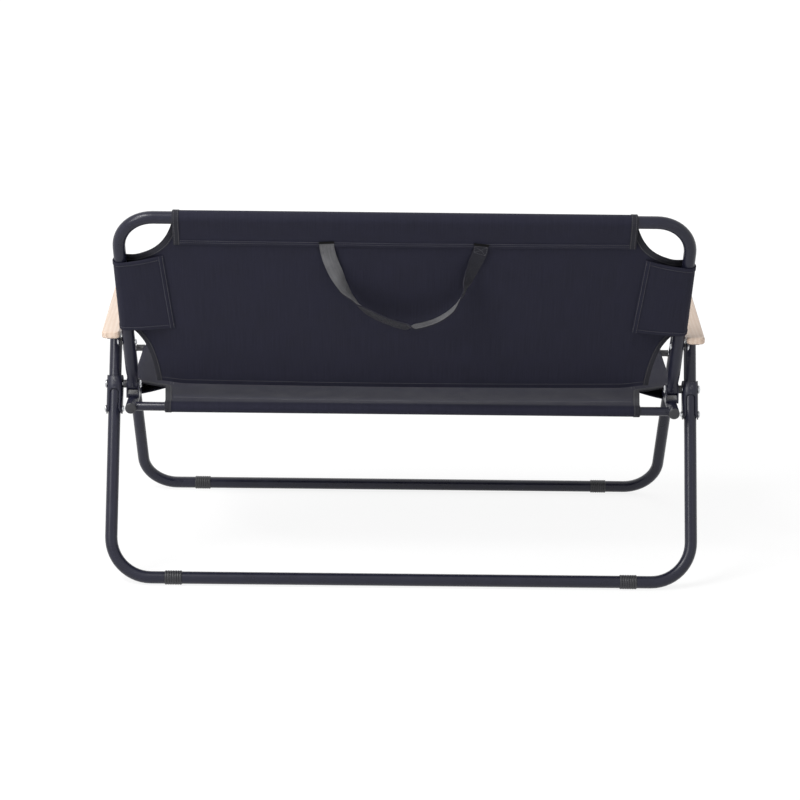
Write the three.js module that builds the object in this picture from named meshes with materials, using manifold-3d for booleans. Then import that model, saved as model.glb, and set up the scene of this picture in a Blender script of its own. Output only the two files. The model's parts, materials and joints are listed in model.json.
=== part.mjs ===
// Folding camping loveseat: a low two-person chair whose back, legs and armrests fold flat together.
// Millimetres. +Z is up, the sitter looks along -Y, and +X is the sitter's left.
// Every body has its own frame at its main pivot, so its pieces are drawn along its own tubes.
import * as THREE from "three";
import { mergeVertices } from "three/addons/utils/BufferGeometryUtils.js";
import Module from "manifold-3d";

const wasm = await Module();
wasm.setup();

// Driving dimensions: the folding geometry, seen from the side
const rearLegLean = 22.75;
const backLean = 23;
const seatTilt = 3.3;
const armTilt = 3.7;
const rearLegLength = 346;
const postLength = 82;
const backLength = 359;
const seatPivotSpan = 309;
const seatPivotDrop = 28.8;
const armPivotHeight = 94.5;
const armPivotDrop = 9.2;
const kneeBoltDrop = 45;

// Driving dimensions: half the width between the rear legs, and what stands between the frames
const rearLegHalfWidth = 515;
const mainSpacerLength = 6.2;
const frontSpacerLength = 16.1;
const frontLegSplay = 13.2;
const backFlare = 9.5;

// Driving dimensions: tubes, rails and their bends
const legRadius = 11;
const backRadius = 11;
const seatTubeRadius = 10;
const railRadius = 8;
const rearLegBend = 72;
const frontLegBend = 65;
const backBend = 61;
const seatRearReach = 51.7;
const seatFrontReach = 34;
const rearRailReach = 39.7;
const frontRailReach = 19;

// Clearances and shared small sizes
const gap = 0.3;
const boreGap = 0.5;
const sleeveGap = 0.4;
const overrun = 5;
const weld = 0.01;
const tubeSides = 16;
const ringSides = 20;
const boltSides = 12;
const bendSteps = 6;

// Pressed plates at the main pivots: the knuckle bracket round the leg and the clevis on the seat
const plateThickness = 1.8;
const bracketGap = 1.6;
const bracketInnerHalf = legRadius + bracketGap;
const bracketOuterHalf = bracketInnerHalf + plateThickness;
const clevisInnerHalf = 9.3;
const clevisPlate = 2;
const clevisOuterHalf = clevisInnerHalf + clevisPlate;

// Half widths from the rear legs inwards, and out again to the front legs and the back's top
const seatHalfWidth = rearLegHalfWidth - bracketOuterHalf - clevisOuterHalf - mainSpacerLength - 2 * gap;
const frontPivotHalfWidth = seatHalfWidth + seatTubeRadius + frontSpacerLength + legRadius + 2 * gap;
const frontBarHalfWidth = frontPivotHalfWidth - frontLegSplay;
const backTopHalfWidth = seatHalfWidth + backFlare;

const radians = THREE.MathUtils.degToRad;

// Finishes
const finish = (color, roughness, metalness) =>
  new THREE.MeshStandardMaterial({ color, roughness, metalness });
const tubePaint = finish(0x2c2c33, 0.42, 0.5);
const blackPlastic = finish(0x1b1b1e, 0.6, 0);
const zinc = finish(0xb9bcc0, 0.32, 0.9);
const fabric = finish(0x2b2d34, 0.92, 0);
const webbing = finish(0x34353b, 0.85, 0);
const paleWood = finish(0xe9cfae, 0.55, 0);

// Closed meshes become solids for joining and cutting, and come back as geometry
function toSolid(geometry) {
  const bare = geometry.index ? geometry.toNonIndexed() : geometry.clone();
  bare.deleteAttribute("normal");
  bare.deleteAttribute("uv");
  const merged = mergeVertices(bare, 1e-4);
  const vertProperties = new Float32Array(merged.attributes.position.array);
  const triVerts = new Uint32Array(merged.index.array);
  return new wasm.Manifold(new wasm.Mesh({ numProp: 3, vertProperties, triVerts }));
}

function toGeometry(solid) {
  const mesh = solid.simplify(weld).getMesh();
  const geometry = new THREE.BufferGeometry();
  geometry.setAttribute("position", new THREE.BufferAttribute(mesh.vertProperties, 3));
  geometry.setIndex(new THREE.BufferAttribute(mesh.triVerts, 1));
  const faceted = geometry.toNonIndexed();
  faceted.computeVertexNormals();
  return faceted;
}

const joined = (...geometries) =>
  toGeometry(geometries.map(toSolid).reduce((whole, piece) => whole.add(piece)));
const cut = (geometry, ...cutters) =>
  toGeometry(cutters.map(toSolid).reduce((whole, piece) => whole.subtract(piece), toSolid(geometry)));
const common = (first, second) => toGeometry(toSolid(first).intersect(toSolid(second)));
const wrapped = (...geometries) => toGeometry(wasm.Manifold.hull(geometries.map(toSolid)));

// A round bar along X between two places, at (y, z) in the body's frame
function barAcross(radius, fromX, toX, y, z, sides = ringSides) {
  const bar = new THREE.CylinderGeometry(radius, radius, toX - fromX, sides);
  bar.rotateZ(Math.PI / 2);
  return bar.translate((fromX + toX) / 2, y, z);
}

// A round bar along Y between two places, at (x, z) in the body's frame
function barAlong(radius, fromY, toY, x, z, sides = ringSides) {
  const bar = new THREE.CylinderGeometry(radius, radius, toY - fromY, sides);
  return bar.translate(x, (fromY + toY) / 2, z);
}

// A turned piece whose profile lists [place along X, radius] pairs from one end to the other
function turnedAcross(profile, sides = ringSides) {
  const points = profile.map(([x, radius]) => new THREE.Vector2(radius, x));
  const turned = new THREE.LatheGeometry(points, sides);
  return turned.rotateZ(-Math.PI / 2);
}

// A flat outline in the side view (y, z), given its thickness along X
function plateAcross(outline, fromX, toX, curveSegments = 8) {
  const options = { depth: toX - fromX, bevelEnabled: false, curveSegments };
  const plate = new THREE.ExtrudeGeometry(outline, options);
  plate.rotateY(Math.PI / 2);
  plate.rotateX(Math.PI / 2);
  return plate.translate(fromX, 0, 0);
}

function boxBetween(fromX, toX, fromY, toY, fromZ, toZ) {
  const box = new THREE.BoxGeometry(toX - fromX, toY - fromY, toZ - fromZ);
  return box.translate((fromX + toX) / 2, (fromY + toY) / 2, (fromZ + toZ) / 2);
}

// The round stretch where a tube is bent from one straight run into the next
class Bend extends THREE.Curve {
  constructor(corner, before, after, radius) {
    super();
    const inward = new THREE.Vector3().subVectors(before, corner).normalize();
    const outward = new THREE.Vector3().subVectors(after, corner).normalize();
    const halfAngle = inward.angleTo(outward) / 2;
    const setback = radius / Math.tan(halfAngle);
    this.start = corner.clone().addScaledVector(inward, setback);
    this.end = corner.clone().addScaledVector(outward, setback);
    this.turn = Math.PI - 2 * halfAngle;
    this.radius = radius;
    this.heading = inward.negate();
    const middle = outward.clone().sub(this.heading).normalize();
    this.side = middle.addScaledVector(this.heading, -middle.dot(this.heading)).normalize();
  }

  getPoint(t, target = new THREE.Vector3()) {
    const angle = this.turn * t;
    target.copy(this.start).addScaledVector(this.heading, this.radius * Math.sin(angle));
    return target.addScaledVector(this.side, this.radius * (1 - Math.cos(angle)));
  }

  getTangent(t, target = new THREE.Vector3()) {
    const angle = this.turn * t;
    target.copy(this.heading).multiplyScalar(Math.cos(angle));
    return target.addScaledVector(this.side, Math.sin(angle));
  }
}

// A tube's centre line: straight runs of one step, and bends of several
class TubeLine extends THREE.Curve {
  constructor(corners, bendRadius) {
    super();
    this.pieces = [];
    let from = corners[0];
    for (let i = 1; i < corners.length - 1; i += 1) {
      const bend = new Bend(corners[i], corners[i - 1], corners[i + 1], bendRadius);
      this.pieces.push({ curve: new THREE.LineCurve3(from, bend.start), steps: 1 });
      this.pieces.push({ curve: bend, steps: bendSteps });
      from = bend.end;
    }
    this.pieces.push({ curve: new THREE.LineCurve3(from, corners.at(-1)), steps: 1 });
    this.steps = this.pieces.reduce((sum, piece) => sum + piece.steps, 0);
  }

  pieceAt(t) {
    let place = t * this.steps;
    for (const piece of this.pieces) {
      if (place <= piece.steps || piece === this.pieces.at(-1)) {
        return { curve: piece.curve, local: Math.min(place / piece.steps, 1) };
      }
      place -= piece.steps;
    }
    return null;
  }

  getUtoTmapping(u) {
    return u;
  }

  getPoint(t, target = new THREE.Vector3()) {
    const { curve, local } = this.pieceAt(t);
    return curve.getPoint(local, target);
  }

  getTangent(t, target = new THREE.Vector3()) {
    const { curve, local } = this.pieceAt(t);
    return curve.getTangent(local, target);
  }
}

function bentTube(corners, bendRadius, radius, sides = tubeSides) {
  const section = new THREE.Shape().absarc(0, 0, radius, 0, 2 * Math.PI);
  const line = new TubeLine(corners, bendRadius);
  const options = { extrudePath: line, steps: line.steps, curveSegments: sides / 2 };
  return new THREE.ExtrudeGeometry(section, options);
}

// Bodies: one group for each rigid group of pieces, placed at its pivot and turned to its lean
const loveseat = new THREE.Group();

function bodyGroup(pivot, leanForward) {
  const group = new THREE.Group();
  group.position.copy(pivot);
  group.rotation.x = radians(leanForward);
  loveseat.add(group);
  return group;
}

function addPiece(group, name, geometry, material) {
  const mesh = new THREE.Mesh(geometry, material);
  mesh.name = name;
  group.add(mesh);
  return mesh;
}

// A pair is drawn once on the sitter's left and mirrored to the right
function addPair(group, name, geometry, material) {
  addPiece(group, `${name}_left`, geometry, material);
  addPiece(group, `${name}_right`, geometry, material).scale.x = -1;
}

// Foot sleeves stand on the floor, and their outer radius sets the height of both floor bars
const footWall = 1.6;
const footRibRadius = legRadius + footWall;
const barHeight = footRibRadius;
const mainPivot = new THREE.Vector3(0, 0, barHeight + rearLegLength * Math.cos(radians(rearLegLean)));
const sideways = new THREE.Vector3(1, 0, 0);
const linkToFront = new THREE.Vector3(0, -seatPivotSpan, -seatPivotDrop);
linkToFront.applyAxisAngle(sideways, -radians(seatTilt));
const frontPivot = mainPivot.clone().add(linkToFront);
const armPivotOffset = new THREE.Vector3(0, 0, armPivotHeight);
armPivotOffset.applyAxisAngle(sideways, -radians(backLean));
const armPivot = mainPivot.clone().add(armPivotOffset);

const seat = bodyGroup(mainPivot, -seatTilt);
const back = bodyGroup(mainPivot, -backLean);
const rearLegs = bodyGroup(mainPivot, rearLegLean);
const frontLegs = bodyGroup(frontPivot, -backLean);
const arms = bodyGroup(armPivot, -armTilt);

// Ribbed foot sleeve: a moulded tube with rings, pushed along the floor bar
const footLength = 30;
const footRibs = 7;
const footGrooveDepth = 0.8;

function footSleeve(centreX, barZ) {
  const bore = legRadius + sleeveGap;
  const pitch = footLength / footRibs;
  const grooveWidthShare = 0.2;
  const profile = [[-footLength / 2, bore]];
  for (let rib = 0; rib < footRibs; rib += 1) {
    const start = -footLength / 2 + rib * pitch;
    profile.push([start, footRibRadius - footGrooveDepth]);
    profile.push([start + pitch * grooveWidthShare, footRibRadius]);
    profile.push([start + pitch * (1 - grooveWidthShare), footRibRadius]);
  }
  profile.push([footLength / 2, footRibRadius - footGrooveDepth]);
  profile.push([footLength / 2, bore]);
  profile.push([-footLength / 2, bore]);
  return turnedAcross(profile, tubeSides).translate(centreX, 0, barZ);
}

// Domed plastic cap on a tube end that points along +Z
const capRimHeight = 1.5;
const capCrownHeight = 2;

function domedCap(radius, crownShare = 0.62) {
  const profile = [
    new THREE.Vector2(0, 0),
    new THREE.Vector2(radius, 0),
    new THREE.Vector2(radius, capRimHeight),
    new THREE.Vector2(radius * crownShare, capRimHeight + capCrownHeight * crownShare),
    new THREE.Vector2(0, capRimHeight + capCrownHeight),
  ];
  return new THREE.LatheGeometry(profile, tubeSides).rotateX(Math.PI / 2);
}

// A bolt along X: an outer domed head, a plain shank and an inner formed head
const headCrownShare = 0.6;

function boltAcross(innerX, outerX, shankRadius, headRadius, headHeight, y, z) {
  const profile = [
    [innerX - headHeight, 0],
    [innerX - headHeight, headRadius * headCrownShare],
    [innerX - headHeight * headCrownShare, headRadius],
    [innerX, headRadius],
    [innerX, shankRadius],
    [outerX, shankRadius],
    [outerX, headRadius],
    [outerX + headHeight * headCrownShare, headRadius],
    [outerX + headHeight, headRadius * headCrownShare],
    [outerX + headHeight, 0],
  ];
  return turnedAcross(profile, boltSides).translate(0, y, z);
}

function ringAcross(fromX, toX, innerRadius, outerRadius, y, z) {
  const profile = [
    [fromX, innerRadius],
    [fromX, outerRadius],
    [toX, outerRadius],
    [toX, innerRadius],
    [fromX, innerRadius],
  ];
  return turnedAcross(profile, boltSides).translate(0, y, z);
}

// Pivot bolts
const mainBoltRadius = 4;
const mainHeadRadius = 7.5;
const mainHeadHeight = 3.6;
const kneeBoltRadius = 3;
const kneeHeadRadius = 6.3;
const kneeHeadHeight = 3;

// Rear legs: one tube from the left post, down, along the floor and up to the right post
const barZ = -rearLegLength;
const rearLegCorners = [
  new THREE.Vector3(rearLegHalfWidth, 0, postLength),
  new THREE.Vector3(rearLegHalfWidth, 0, barZ),
  new THREE.Vector3(-rearLegHalfWidth, 0, barZ),
  new THREE.Vector3(-rearLegHalfWidth, 0, postLength),
];
const boresThroughLegs = [1, -1].flatMap((side) => {
  const centre = side * rearLegHalfWidth;
  const reach = legRadius + overrun;
  return [
    barAcross(mainBoltRadius + boreGap, centre - reach, centre + reach, 0, 0),
    barAcross(kneeBoltRadius + boreGap, centre - reach, centre + reach, 0, -kneeBoltDrop),
  ];
});
const rearLegTube = bentTube(rearLegCorners, rearLegBend, legRadius);
addPiece(rearLegs, "rear_leg_frame", cut(rearLegTube, ...boresThroughLegs), tubePaint);

const postCap = domedCap(legRadius).translate(rearLegHalfWidth, 0, postLength + gap);
addPair(rearLegs, "rear_post_cap", postCap, blackPlastic);

const rearFootInset = 112;
const rearFootX = rearLegHalfWidth - rearFootInset;
addPair(rearLegs, "rear_foot_sleeve", footSleeve(rearFootX, barZ), blackPlastic);

// The knuckle is pressed from one strip: two cheeks joined by a web round the back of the leg.
// The web covers the pivot only; below it the cheeks run on bare, down to the lower bolt.
const webTop = 15;
const webBottom = 9;
const cheekFront = 10;
const cheekLobe = 9.5;
const saddleRadius = 24;
const saddleDepth = 4;

function knuckleBracket() {
  const top = webTop + overrun;
  const bottom = -kneeBoltDrop - cheekLobe - overrun;
  const height = top - bottom;
  const channel = (half, forward) => {
    const round = new THREE.CylinderGeometry(half, half, height, ringSides).rotateX(Math.PI / 2);
    round.translate(0, 0, (top + bottom) / 2);
    return joined(round, boxBetween(-half, half, -forward, 0, bottom, top));
  };
  const shell = cut(
    channel(bracketOuterHalf, cheekFront + overrun),
    channel(bracketInnerHalf, cheekFront + 2 * overrun).scale(1, 1, 2),
  );
  const side = new THREE.Shape();
  side.moveTo(-cheekFront, webTop - saddleDepth);
  side.lineTo(-cheekFront, -webBottom);
  side.lineTo(-cheekLobe, -kneeBoltDrop);
  side.absarc(0, -kneeBoltDrop, cheekLobe, Math.PI, 2 * Math.PI);
  side.lineTo(cheekLobe, -webBottom - cheekLobe);
  side.quadraticCurveTo(cheekLobe, -webBottom, bracketOuterHalf + overrun, -webBottom);
  side.lineTo(bracketOuterHalf + overrun, webTop);
  side.lineTo(0, webTop);
  side.closePath();
  const profiled = common(shell, plateAcross(side, -bracketOuterHalf - overrun, bracketOuterHalf + overrun));
  const saddle = new THREE.CylinderGeometry(saddleRadius, saddleRadius, 4 * bracketOuterHalf, ringSides);
  saddle.translate(0, 2 * bracketOuterHalf, webTop - saddleDepth + saddleRadius);
  const reach = bracketOuterHalf + overrun;
  return cut(
    profiled,
    saddle,
    barAcross(mainBoltRadius + boreGap, -reach, reach, 0, 0),
    barAcross(kneeBoltRadius + boreGap, -reach, reach, 0, -kneeBoltDrop),
  ).translate(rearLegHalfWidth, 0, 0);
}

addPair(rearLegs, "knuckle_bracket", knuckleBracket(), tubePaint);
const kneeBolt = boltAcross(
  rearLegHalfWidth - bracketOuterHalf - gap,
  rearLegHalfWidth + bracketOuterHalf + gap,
  kneeBoltRadius,
  kneeHeadRadius,
  kneeHeadHeight,
  0,
  -kneeBoltDrop,
);
addPair(rearLegs, "knuckle_bolt", kneeBolt, zinc);

// Seat frame: side tubes run under the clevises, with rails coped between them
const tubeZ = -seatPivotDrop;
const sideTubeRear = seatRearReach;
const sideTubeFront = -seatPivotSpan - seatFrontReach;
const frontBoltRadius = 4;
const seatTube = barAlong(seatTubeRadius, sideTubeFront, sideTubeRear, seatHalfWidth, tubeZ);
const seatTubeBore = barAcross(
  frontBoltRadius + boreGap,
  seatHalfWidth - seatTubeRadius - overrun,
  seatHalfWidth + seatTubeRadius + overrun,
  -seatPivotSpan,
  tubeZ,
);
addPair(seat, "seat_side_tube", cut(seatTube, seatTubeBore), tubePaint);

const rearCap = domedCap(seatTubeRadius).rotateX(-Math.PI / 2);
rearCap.translate(seatHalfWidth, sideTubeRear + gap, tubeZ);
addPair(seat, "seat_rear_cap", rearCap, blackPlastic);
const frontCap = domedCap(seatTubeRadius).rotateX(Math.PI / 2);
frontCap.translate(seatHalfWidth, sideTubeFront - gap, tubeZ);
addPair(seat, "seat_front_cap", frontCap, blackPlastic);

const rearRailY = rearRailReach;
const frontRailY = -seatPivotSpan - frontRailReach;

function copedRail(y) {
  const rail = barAcross(railRadius, -seatHalfWidth, seatHalfWidth, y, tubeZ, tubeSides);
  const from = y - railRadius - overrun;
  const to = y + railRadius + overrun;
  const cope = seatTubeRadius + gap;
  return cut(
    rail,
    barAlong(cope, from, to, seatHalfWidth, tubeZ),
    barAlong(cope, from, to, -seatHalfWidth, tubeZ),
    boxBetween(seatHalfWidth, seatHalfWidth + overrun, from, to, tubeZ - cope, tubeZ + cope),
    boxBetween(-seatHalfWidth - overrun, -seatHalfWidth, from, to, tubeZ - cope, tubeZ + cope),
  );
}

addPiece(seat, "seat_rear_rail", copedRail(rearRailY), tubePaint);
addPiece(seat, "seat_front_rail", copedRail(frontRailY), tubePaint);

// The clevis is a saddle on the seat tube with two ears that hold the back's flattened end
const clevisLugRadius = 10;
const clevisFootHalf = 15;
const clevisBase = 2.5;
const clevisWrap = 3;

function backClevis() {
  const tubeTop = tubeZ + seatTubeRadius;
  const ear = new THREE.Shape();
  ear.moveTo(clevisFootHalf, tubeTop - clevisWrap);
  ear.lineTo(clevisFootHalf, tubeTop + clevisBase);
  ear.lineTo(clevisLugRadius, 0);
  ear.absarc(0, 0, clevisLugRadius, 0, Math.PI);
  ear.lineTo(-clevisFootHalf, tubeTop + clevisBase);
  ear.lineTo(-clevisFootHalf, tubeTop - clevisWrap);
  ear.closePath();
  const from = seatHalfWidth - clevisOuterHalf;
  const to = seatHalfWidth + clevisOuterHalf;
  const reach = clevisFootHalf + overrun;
  const slotTop = clevisLugRadius + overrun;
  return cut(
    plateAcross(ear, from, to),
    boxBetween(from + clevisPlate, to - clevisPlate, -reach, reach, tubeTop + clevisBase, slotTop),
    barAlong(seatTubeRadius + gap, -reach, reach, seatHalfWidth, tubeZ),
    barAcross(mainBoltRadius + boreGap, from - overrun, to + overrun, 0, 0),
  );
}

addPair(seat, "back_clevis", backClevis(), tubePaint);

const clevisInnerFace = seatHalfWidth - clevisOuterHalf;
const clevisOuterFace = seatHalfWidth + clevisOuterHalf;
const mainBolt = boltAcross(
  clevisInnerFace - gap,
  rearLegHalfWidth + bracketOuterHalf + gap,
  mainBoltRadius,
  mainHeadRadius,
  mainHeadHeight,
  0,
  0,
);
addPair(seat, "main_pivot_bolt", mainBolt, zinc);
const mainSpacerRadius = 7.3;
const mainSpacer = ringAcross(
  clevisOuterFace + gap,
  rearLegHalfWidth - bracketOuterHalf - gap,
  mainBoltRadius + boreGap,
  mainSpacerRadius,
  0,
  0,
);
addPair(seat, "main_pivot_spacer", mainSpacer, blackPlastic);

// Front legs: a wider U whose legs splay outwards so that they pass outside the seat tubes
const frontLegLength = (frontPivot.z - barHeight) / Math.cos(radians(backLean));
const splay = frontLegSplay / frontLegLength;
const legHalfWidthAt = (z) => frontPivotHalfWidth + splay * z;
const armBoltRadius = 3.5;
const legTopMargin = 12;
const legTop = armPivotHeight + legTopMargin;
const frontLegCorners = [
  new THREE.Vector3(legHalfWidthAt(legTop), 0, legTop),
  new THREE.Vector3(frontBarHalfWidth, 0, -frontLegLength),
  new THREE.Vector3(-frontBarHalfWidth, 0, -frontLegLength),
  new THREE.Vector3(-legHalfWidthAt(legTop), 0, legTop),
];
const frontBores = [1, -1].flatMap((side) => {
  const bore = (radius, z) => {
    const centre = side * legHalfWidthAt(z);
    const reach = legRadius + overrun;
    return barAcross(radius + boreGap, centre - reach, centre + reach, 0, z);
  };
  return [bore(frontBoltRadius, 0), bore(armBoltRadius, armPivotHeight)];
});
const frontLegTube = bentTube(frontLegCorners, frontLegBend, legRadius);
addPiece(frontLegs, "front_leg_frame", cut(frontLegTube, ...frontBores), tubePaint);

const frontCapTop = domedCap(legRadius).rotateY(Math.atan(splay));
frontCapTop.translate(legHalfWidthAt(legTop), 0, legTop + gap);
addPair(frontLegs, "front_leg_cap", frontCapTop, blackPlastic);
const frontFootInset = 113;
const frontFootX = frontBarHalfWidth - frontFootInset;
addPair(frontLegs, "front_foot_sleeve", footSleeve(frontFootX, -frontLegLength), blackPlastic);

const frontHeadRadius = 6.5;
const frontHeadHeight = 3.5;
const legFaceGap = 2 * gap;
const frontBolt = boltAcross(
  seatHalfWidth - seatTubeRadius - gap,
  frontPivotHalfWidth + legRadius + legFaceGap,
  frontBoltRadius,
  frontHeadRadius,
  frontHeadHeight,
  -seatPivotSpan,
  tubeZ,
);
addPair(seat, "front_pivot_bolt", frontBolt, zinc);
const frontSpacerRadius = 6.7;
const frontSpacer = ringAcross(
  seatHalfWidth + seatTubeRadius + gap,
  frontPivotHalfWidth - legRadius - legFaceGap,
  frontBoltRadius + boreGap,
  frontSpacerRadius,
  -seatPivotSpan,
  tubeZ,
);
addPair(seat, "front_pivot_spacer", frontSpacer, blackPlastic);

// Back frame: an upturned U whose lower ends are flattened into round lugs between the clevis ears
const lugHalf = clevisInnerHalf - gap;
const flatHeight = 20;
const flatBlend = 14;
const armScrewRadius = 3;
const flatFlareShare = 1.2;
const backHalfWidthAt = (z) => seatHalfWidth + (backFlare * z) / backLength;
const backCorners = [
  new THREE.Vector3(seatHalfWidth, 0, 0),
  new THREE.Vector3(backTopHalfWidth, 0, backLength),
  new THREE.Vector3(-backTopHalfWidth, 0, backLength),
  new THREE.Vector3(-seatHalfWidth, 0, 0),
];

function backFrameTube() {
  const lug = (side) => {
    const centre = side * seatHalfWidth;
    return barAcross(backRadius, centre - lugHalf, centre + lugHalf, 0, 0);
  };
  const flat = (side, face) => {
    const far = face * 2 * backRadius;
    const outline = new THREE.Shape();
    outline.moveTo(face * lugHalf, -backRadius - overrun);
    outline.lineTo(face * lugHalf, flatHeight);
    outline.lineTo(face * backRadius * flatFlareShare, flatHeight + flatBlend);
    outline.lineTo(far, flatHeight + flatBlend);
    outline.lineTo(far, -backRadius - overrun);
    outline.closePath();
    const options = { depth: 4 * backRadius, bevelEnabled: false };
    const block = new THREE.ExtrudeGeometry(outline, options);
    return block.rotateX(Math.PI / 2).translate(side * seatHalfWidth, 2 * backRadius, 0);
  };
  const bore = (side, radius, z) => {
    const centre = side * backHalfWidthAt(z);
    const reach = backRadius + overrun;
    return barAcross(radius + boreGap, centre - reach, centre + reach, 0, z);
  };
  const tube = bentTube(backCorners, backBend, backRadius);
  const flattened = cut(tube, flat(1, 1), flat(1, -1), flat(-1, 1), flat(-1, -1));
  const bores = [1, -1].flatMap((side) => [
    bore(side, mainBoltRadius, 0),
    bore(side, armScrewRadius, armPivotHeight),
  ]);
  return cut(joined(flattened, lug(1), lug(-1)), ...bores);
}

addPiece(back, "back_frame", backFrameTube(), tubePaint);

// Arm pivots: bracket plate, washer and bolt through the back tube
const armWidth = 31;
const armThickness = 12.5;
const armRearReach = 15;
const armFrontReach = 28;
const armEdge = 3;
const armCorner = 8;
const armPlate = 2;
const armEyeRadius = 8;
const armHeadRadius = 5.5;
const armHeadHeight = 3;
const armWasherRadius = 7;
const armWasherLength = 3.9;
const armScrewX = backHalfWidthAt(armPivotHeight);
const rearPlateInner = armScrewX + backRadius + armWasherLength + 2 * gap;
const armHalfWidthRear = rearPlateInner + armWidth / 2;
const armScrew = boltAcross(
  armScrewX - backRadius - gap,
  rearPlateInner + armPlate + gap,
  armScrewRadius,
  armHeadRadius,
  armHeadHeight,
  0,
  armPivotHeight,
);
addPair(back, "arm_pivot_bolt", armScrew, zinc);
const armWasher = ringAcross(
  armScrewX + backRadius + gap,
  rearPlateInner - gap,
  armScrewRadius + boreGap,
  armWasherRadius,
  0,
  armPivotHeight,
);
addPair(back, "arm_pivot_washer", armWasher, blackPlastic);

// Armrests: a wooden strip on an angle bracket behind and a channel bracket in front
const linkInArm = linkToFront.clone().applyAxisAngle(sideways, radians(armTilt));
const armHalfWidthFront = legHalfWidthAt(armPivotHeight);
const armUnderside = armPivotDrop;
const armRearY = armRearReach;
const armFrontY = linkInArm.y - armFrontReach;
const armCentreAt = (y) =>
  armHalfWidthRear + ((armHalfWidthFront - armHalfWidthRear) * y) / linkInArm.y;

function armrestWood() {
  const half = armWidth / 2 - armEdge;
  const rear = armRearY - armEdge;
  const front = armFrontY + armEdge;
  const outline = new THREE.Shape();
  const cornerTo = (x, y, toX, toY) => outline.quadraticCurveTo(x, y, toX, toY);
  const left = (y) => armCentreAt(y) - half;
  const right = (y) => armCentreAt(y) + half;
  outline.moveTo(left(rear) + armCorner, rear);
  outline.lineTo(right(rear) - armCorner, rear);
  cornerTo(right(rear), rear, right(rear), rear - armCorner);
  outline.lineTo(right(front), front + armCorner);
  cornerTo(right(front), front, right(front) - armCorner, front);
  outline.lineTo(left(front) + armCorner, front);
  cornerTo(left(front), front, left(front), front + armCorner);
  outline.lineTo(left(rear), rear - armCorner);
  cornerTo(left(rear), rear, left(rear) + armCorner, rear);
  const options = {
    depth: armThickness - 2 * armEdge,
    bevelSize: armEdge,
    bevelThickness: armEdge,
    bevelSegments: 3,
    curveSegments: 5,
  };
  const wood = new THREE.ExtrudeGeometry(outline, options);
  return wood.translate(0, 0, armUnderside + armEdge);
}

addPair(arms, "armrest", armrestWood(), paleWood);

const rearFlangeLength = 34;
const rearFlangeWidth = 22;

function armRearBracket() {
  const top = armUnderside - gap;
  const flangeFront = -rearFlangeLength;
  const flangeRear = armEyeRadius;
  const plate = new THREE.Shape();
  plate.moveTo(armEyeRadius, top);
  plate.lineTo(flangeFront, top);
  plate.lineTo(flangeFront, top - 2 * armPlate);
  plate.lineTo(-armEyeRadius, 0);
  plate.absarc(0, 0, armEyeRadius, Math.PI, 2 * Math.PI);
  plate.closePath();
  const flangeOuter = rearPlateInner + rearFlangeWidth;
  return cut(
    joined(
      plateAcross(plate, rearPlateInner, rearPlateInner + armPlate),
      boxBetween(rearPlateInner, flangeOuter, flangeFront, flangeRear, top - armPlate, top),
    ),
    barAcross(armScrewRadius + boreGap, rearPlateInner - overrun, rearPlateInner + overrun, 0, 0),
  );
}

addPair(arms, "armrest_rear_bracket", armRearBracket(), tubePaint);

const channelGap = 0.9;
const channelInnerHalf = legRadius + channelGap;
const channelOuterHalf = channelInnerHalf + plateThickness;
const channelEarRadius = 9;
const channelHalfLength = 17;

function armFrontBracket() {
  const top = armUnderside - gap;
  const { y, z } = linkInArm;
  const cheek = new THREE.Shape();
  cheek.moveTo(y + channelHalfLength, top);
  cheek.lineTo(y - channelHalfLength, top);
  cheek.lineTo(y - channelHalfLength, top - 2 * plateThickness);
  cheek.lineTo(y - channelEarRadius, z);
  cheek.absarc(y, z, channelEarRadius, Math.PI, 2 * Math.PI);
  cheek.lineTo(y + channelHalfLength, top - 2 * plateThickness);
  cheek.closePath();
  const from = armHalfWidthFront - channelOuterHalf;
  const to = armHalfWidthFront + channelOuterHalf;
  const reach = channelHalfLength + overrun;
  const slotFloor = z - channelEarRadius - overrun;
  return cut(
    plateAcross(cheek, from, to),
    boxBetween(from + plateThickness, to - plateThickness, y - reach, y + reach, slotFloor, top - plateThickness),
    barAcross(armBoltRadius + boreGap, from - overrun, to + overrun, y, z),
  );
}

addPair(arms, "armrest_front_bracket", armFrontBracket(), tubePaint);
const armFrontHead = 2.5;
const armFrontBolt = boltAcross(
  armHalfWidthFront - channelOuterHalf - gap,
  armHalfWidthFront + channelOuterHalf + gap,
  armBoltRadius,
  frontHeadRadius,
  armFrontHead,
  linkInArm.y,
  linkInArm.z,
);
addPair(arms, "armrest_front_bolt", armFrontBolt, zinc);

// Slings: doubled woven cloth, stretched over the tubes and sagging a little between them
const clothThickness = 2;
const hemRadius = (inner) => inner + sleeveGap + clothThickness;

// A sheet across X and along Z that bulges towards +Y between its edges
function saggingSheet(halfWidth, from, to, sag, sagFrom) {
  const columns = 16;
  const rows = 9;
  const sheet = new THREE.BoxGeometry(2 * halfWidth, clothThickness, to - from, columns, 1, rows);
  sheet.translate(0, 0, (from + to) / 2);
  const place = sheet.getAttribute("position");
  for (let i = 0; i < place.count; i += 1) {
    const across = 1 - (place.getX(i) / halfWidth) ** 2;
    const along = Math.sin((Math.PI * (place.getZ(i) - sagFrom)) / (to - sagFrom));
    place.setY(i, place.getY(i) + sag * across * along);
  }
  return sheet;
}

// The cut outline of a sling, traced down the sitter's left side and mirrored to the right
const curveSteps = 6;

function cutOutline(leftSide, depth) {
  const points = leftSide.getPoints(curveSteps);
  const mirrored = points.map((point) => new THREE.Vector2(-point.x, point.y)).reverse();
  const outline = new THREE.Shape([...points, ...mirrored]);
  const prism = new THREE.ExtrudeGeometry(outline, { depth, bevelEnabled: false });
  return prism.translate(0, 0, -depth / 2);
}

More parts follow.
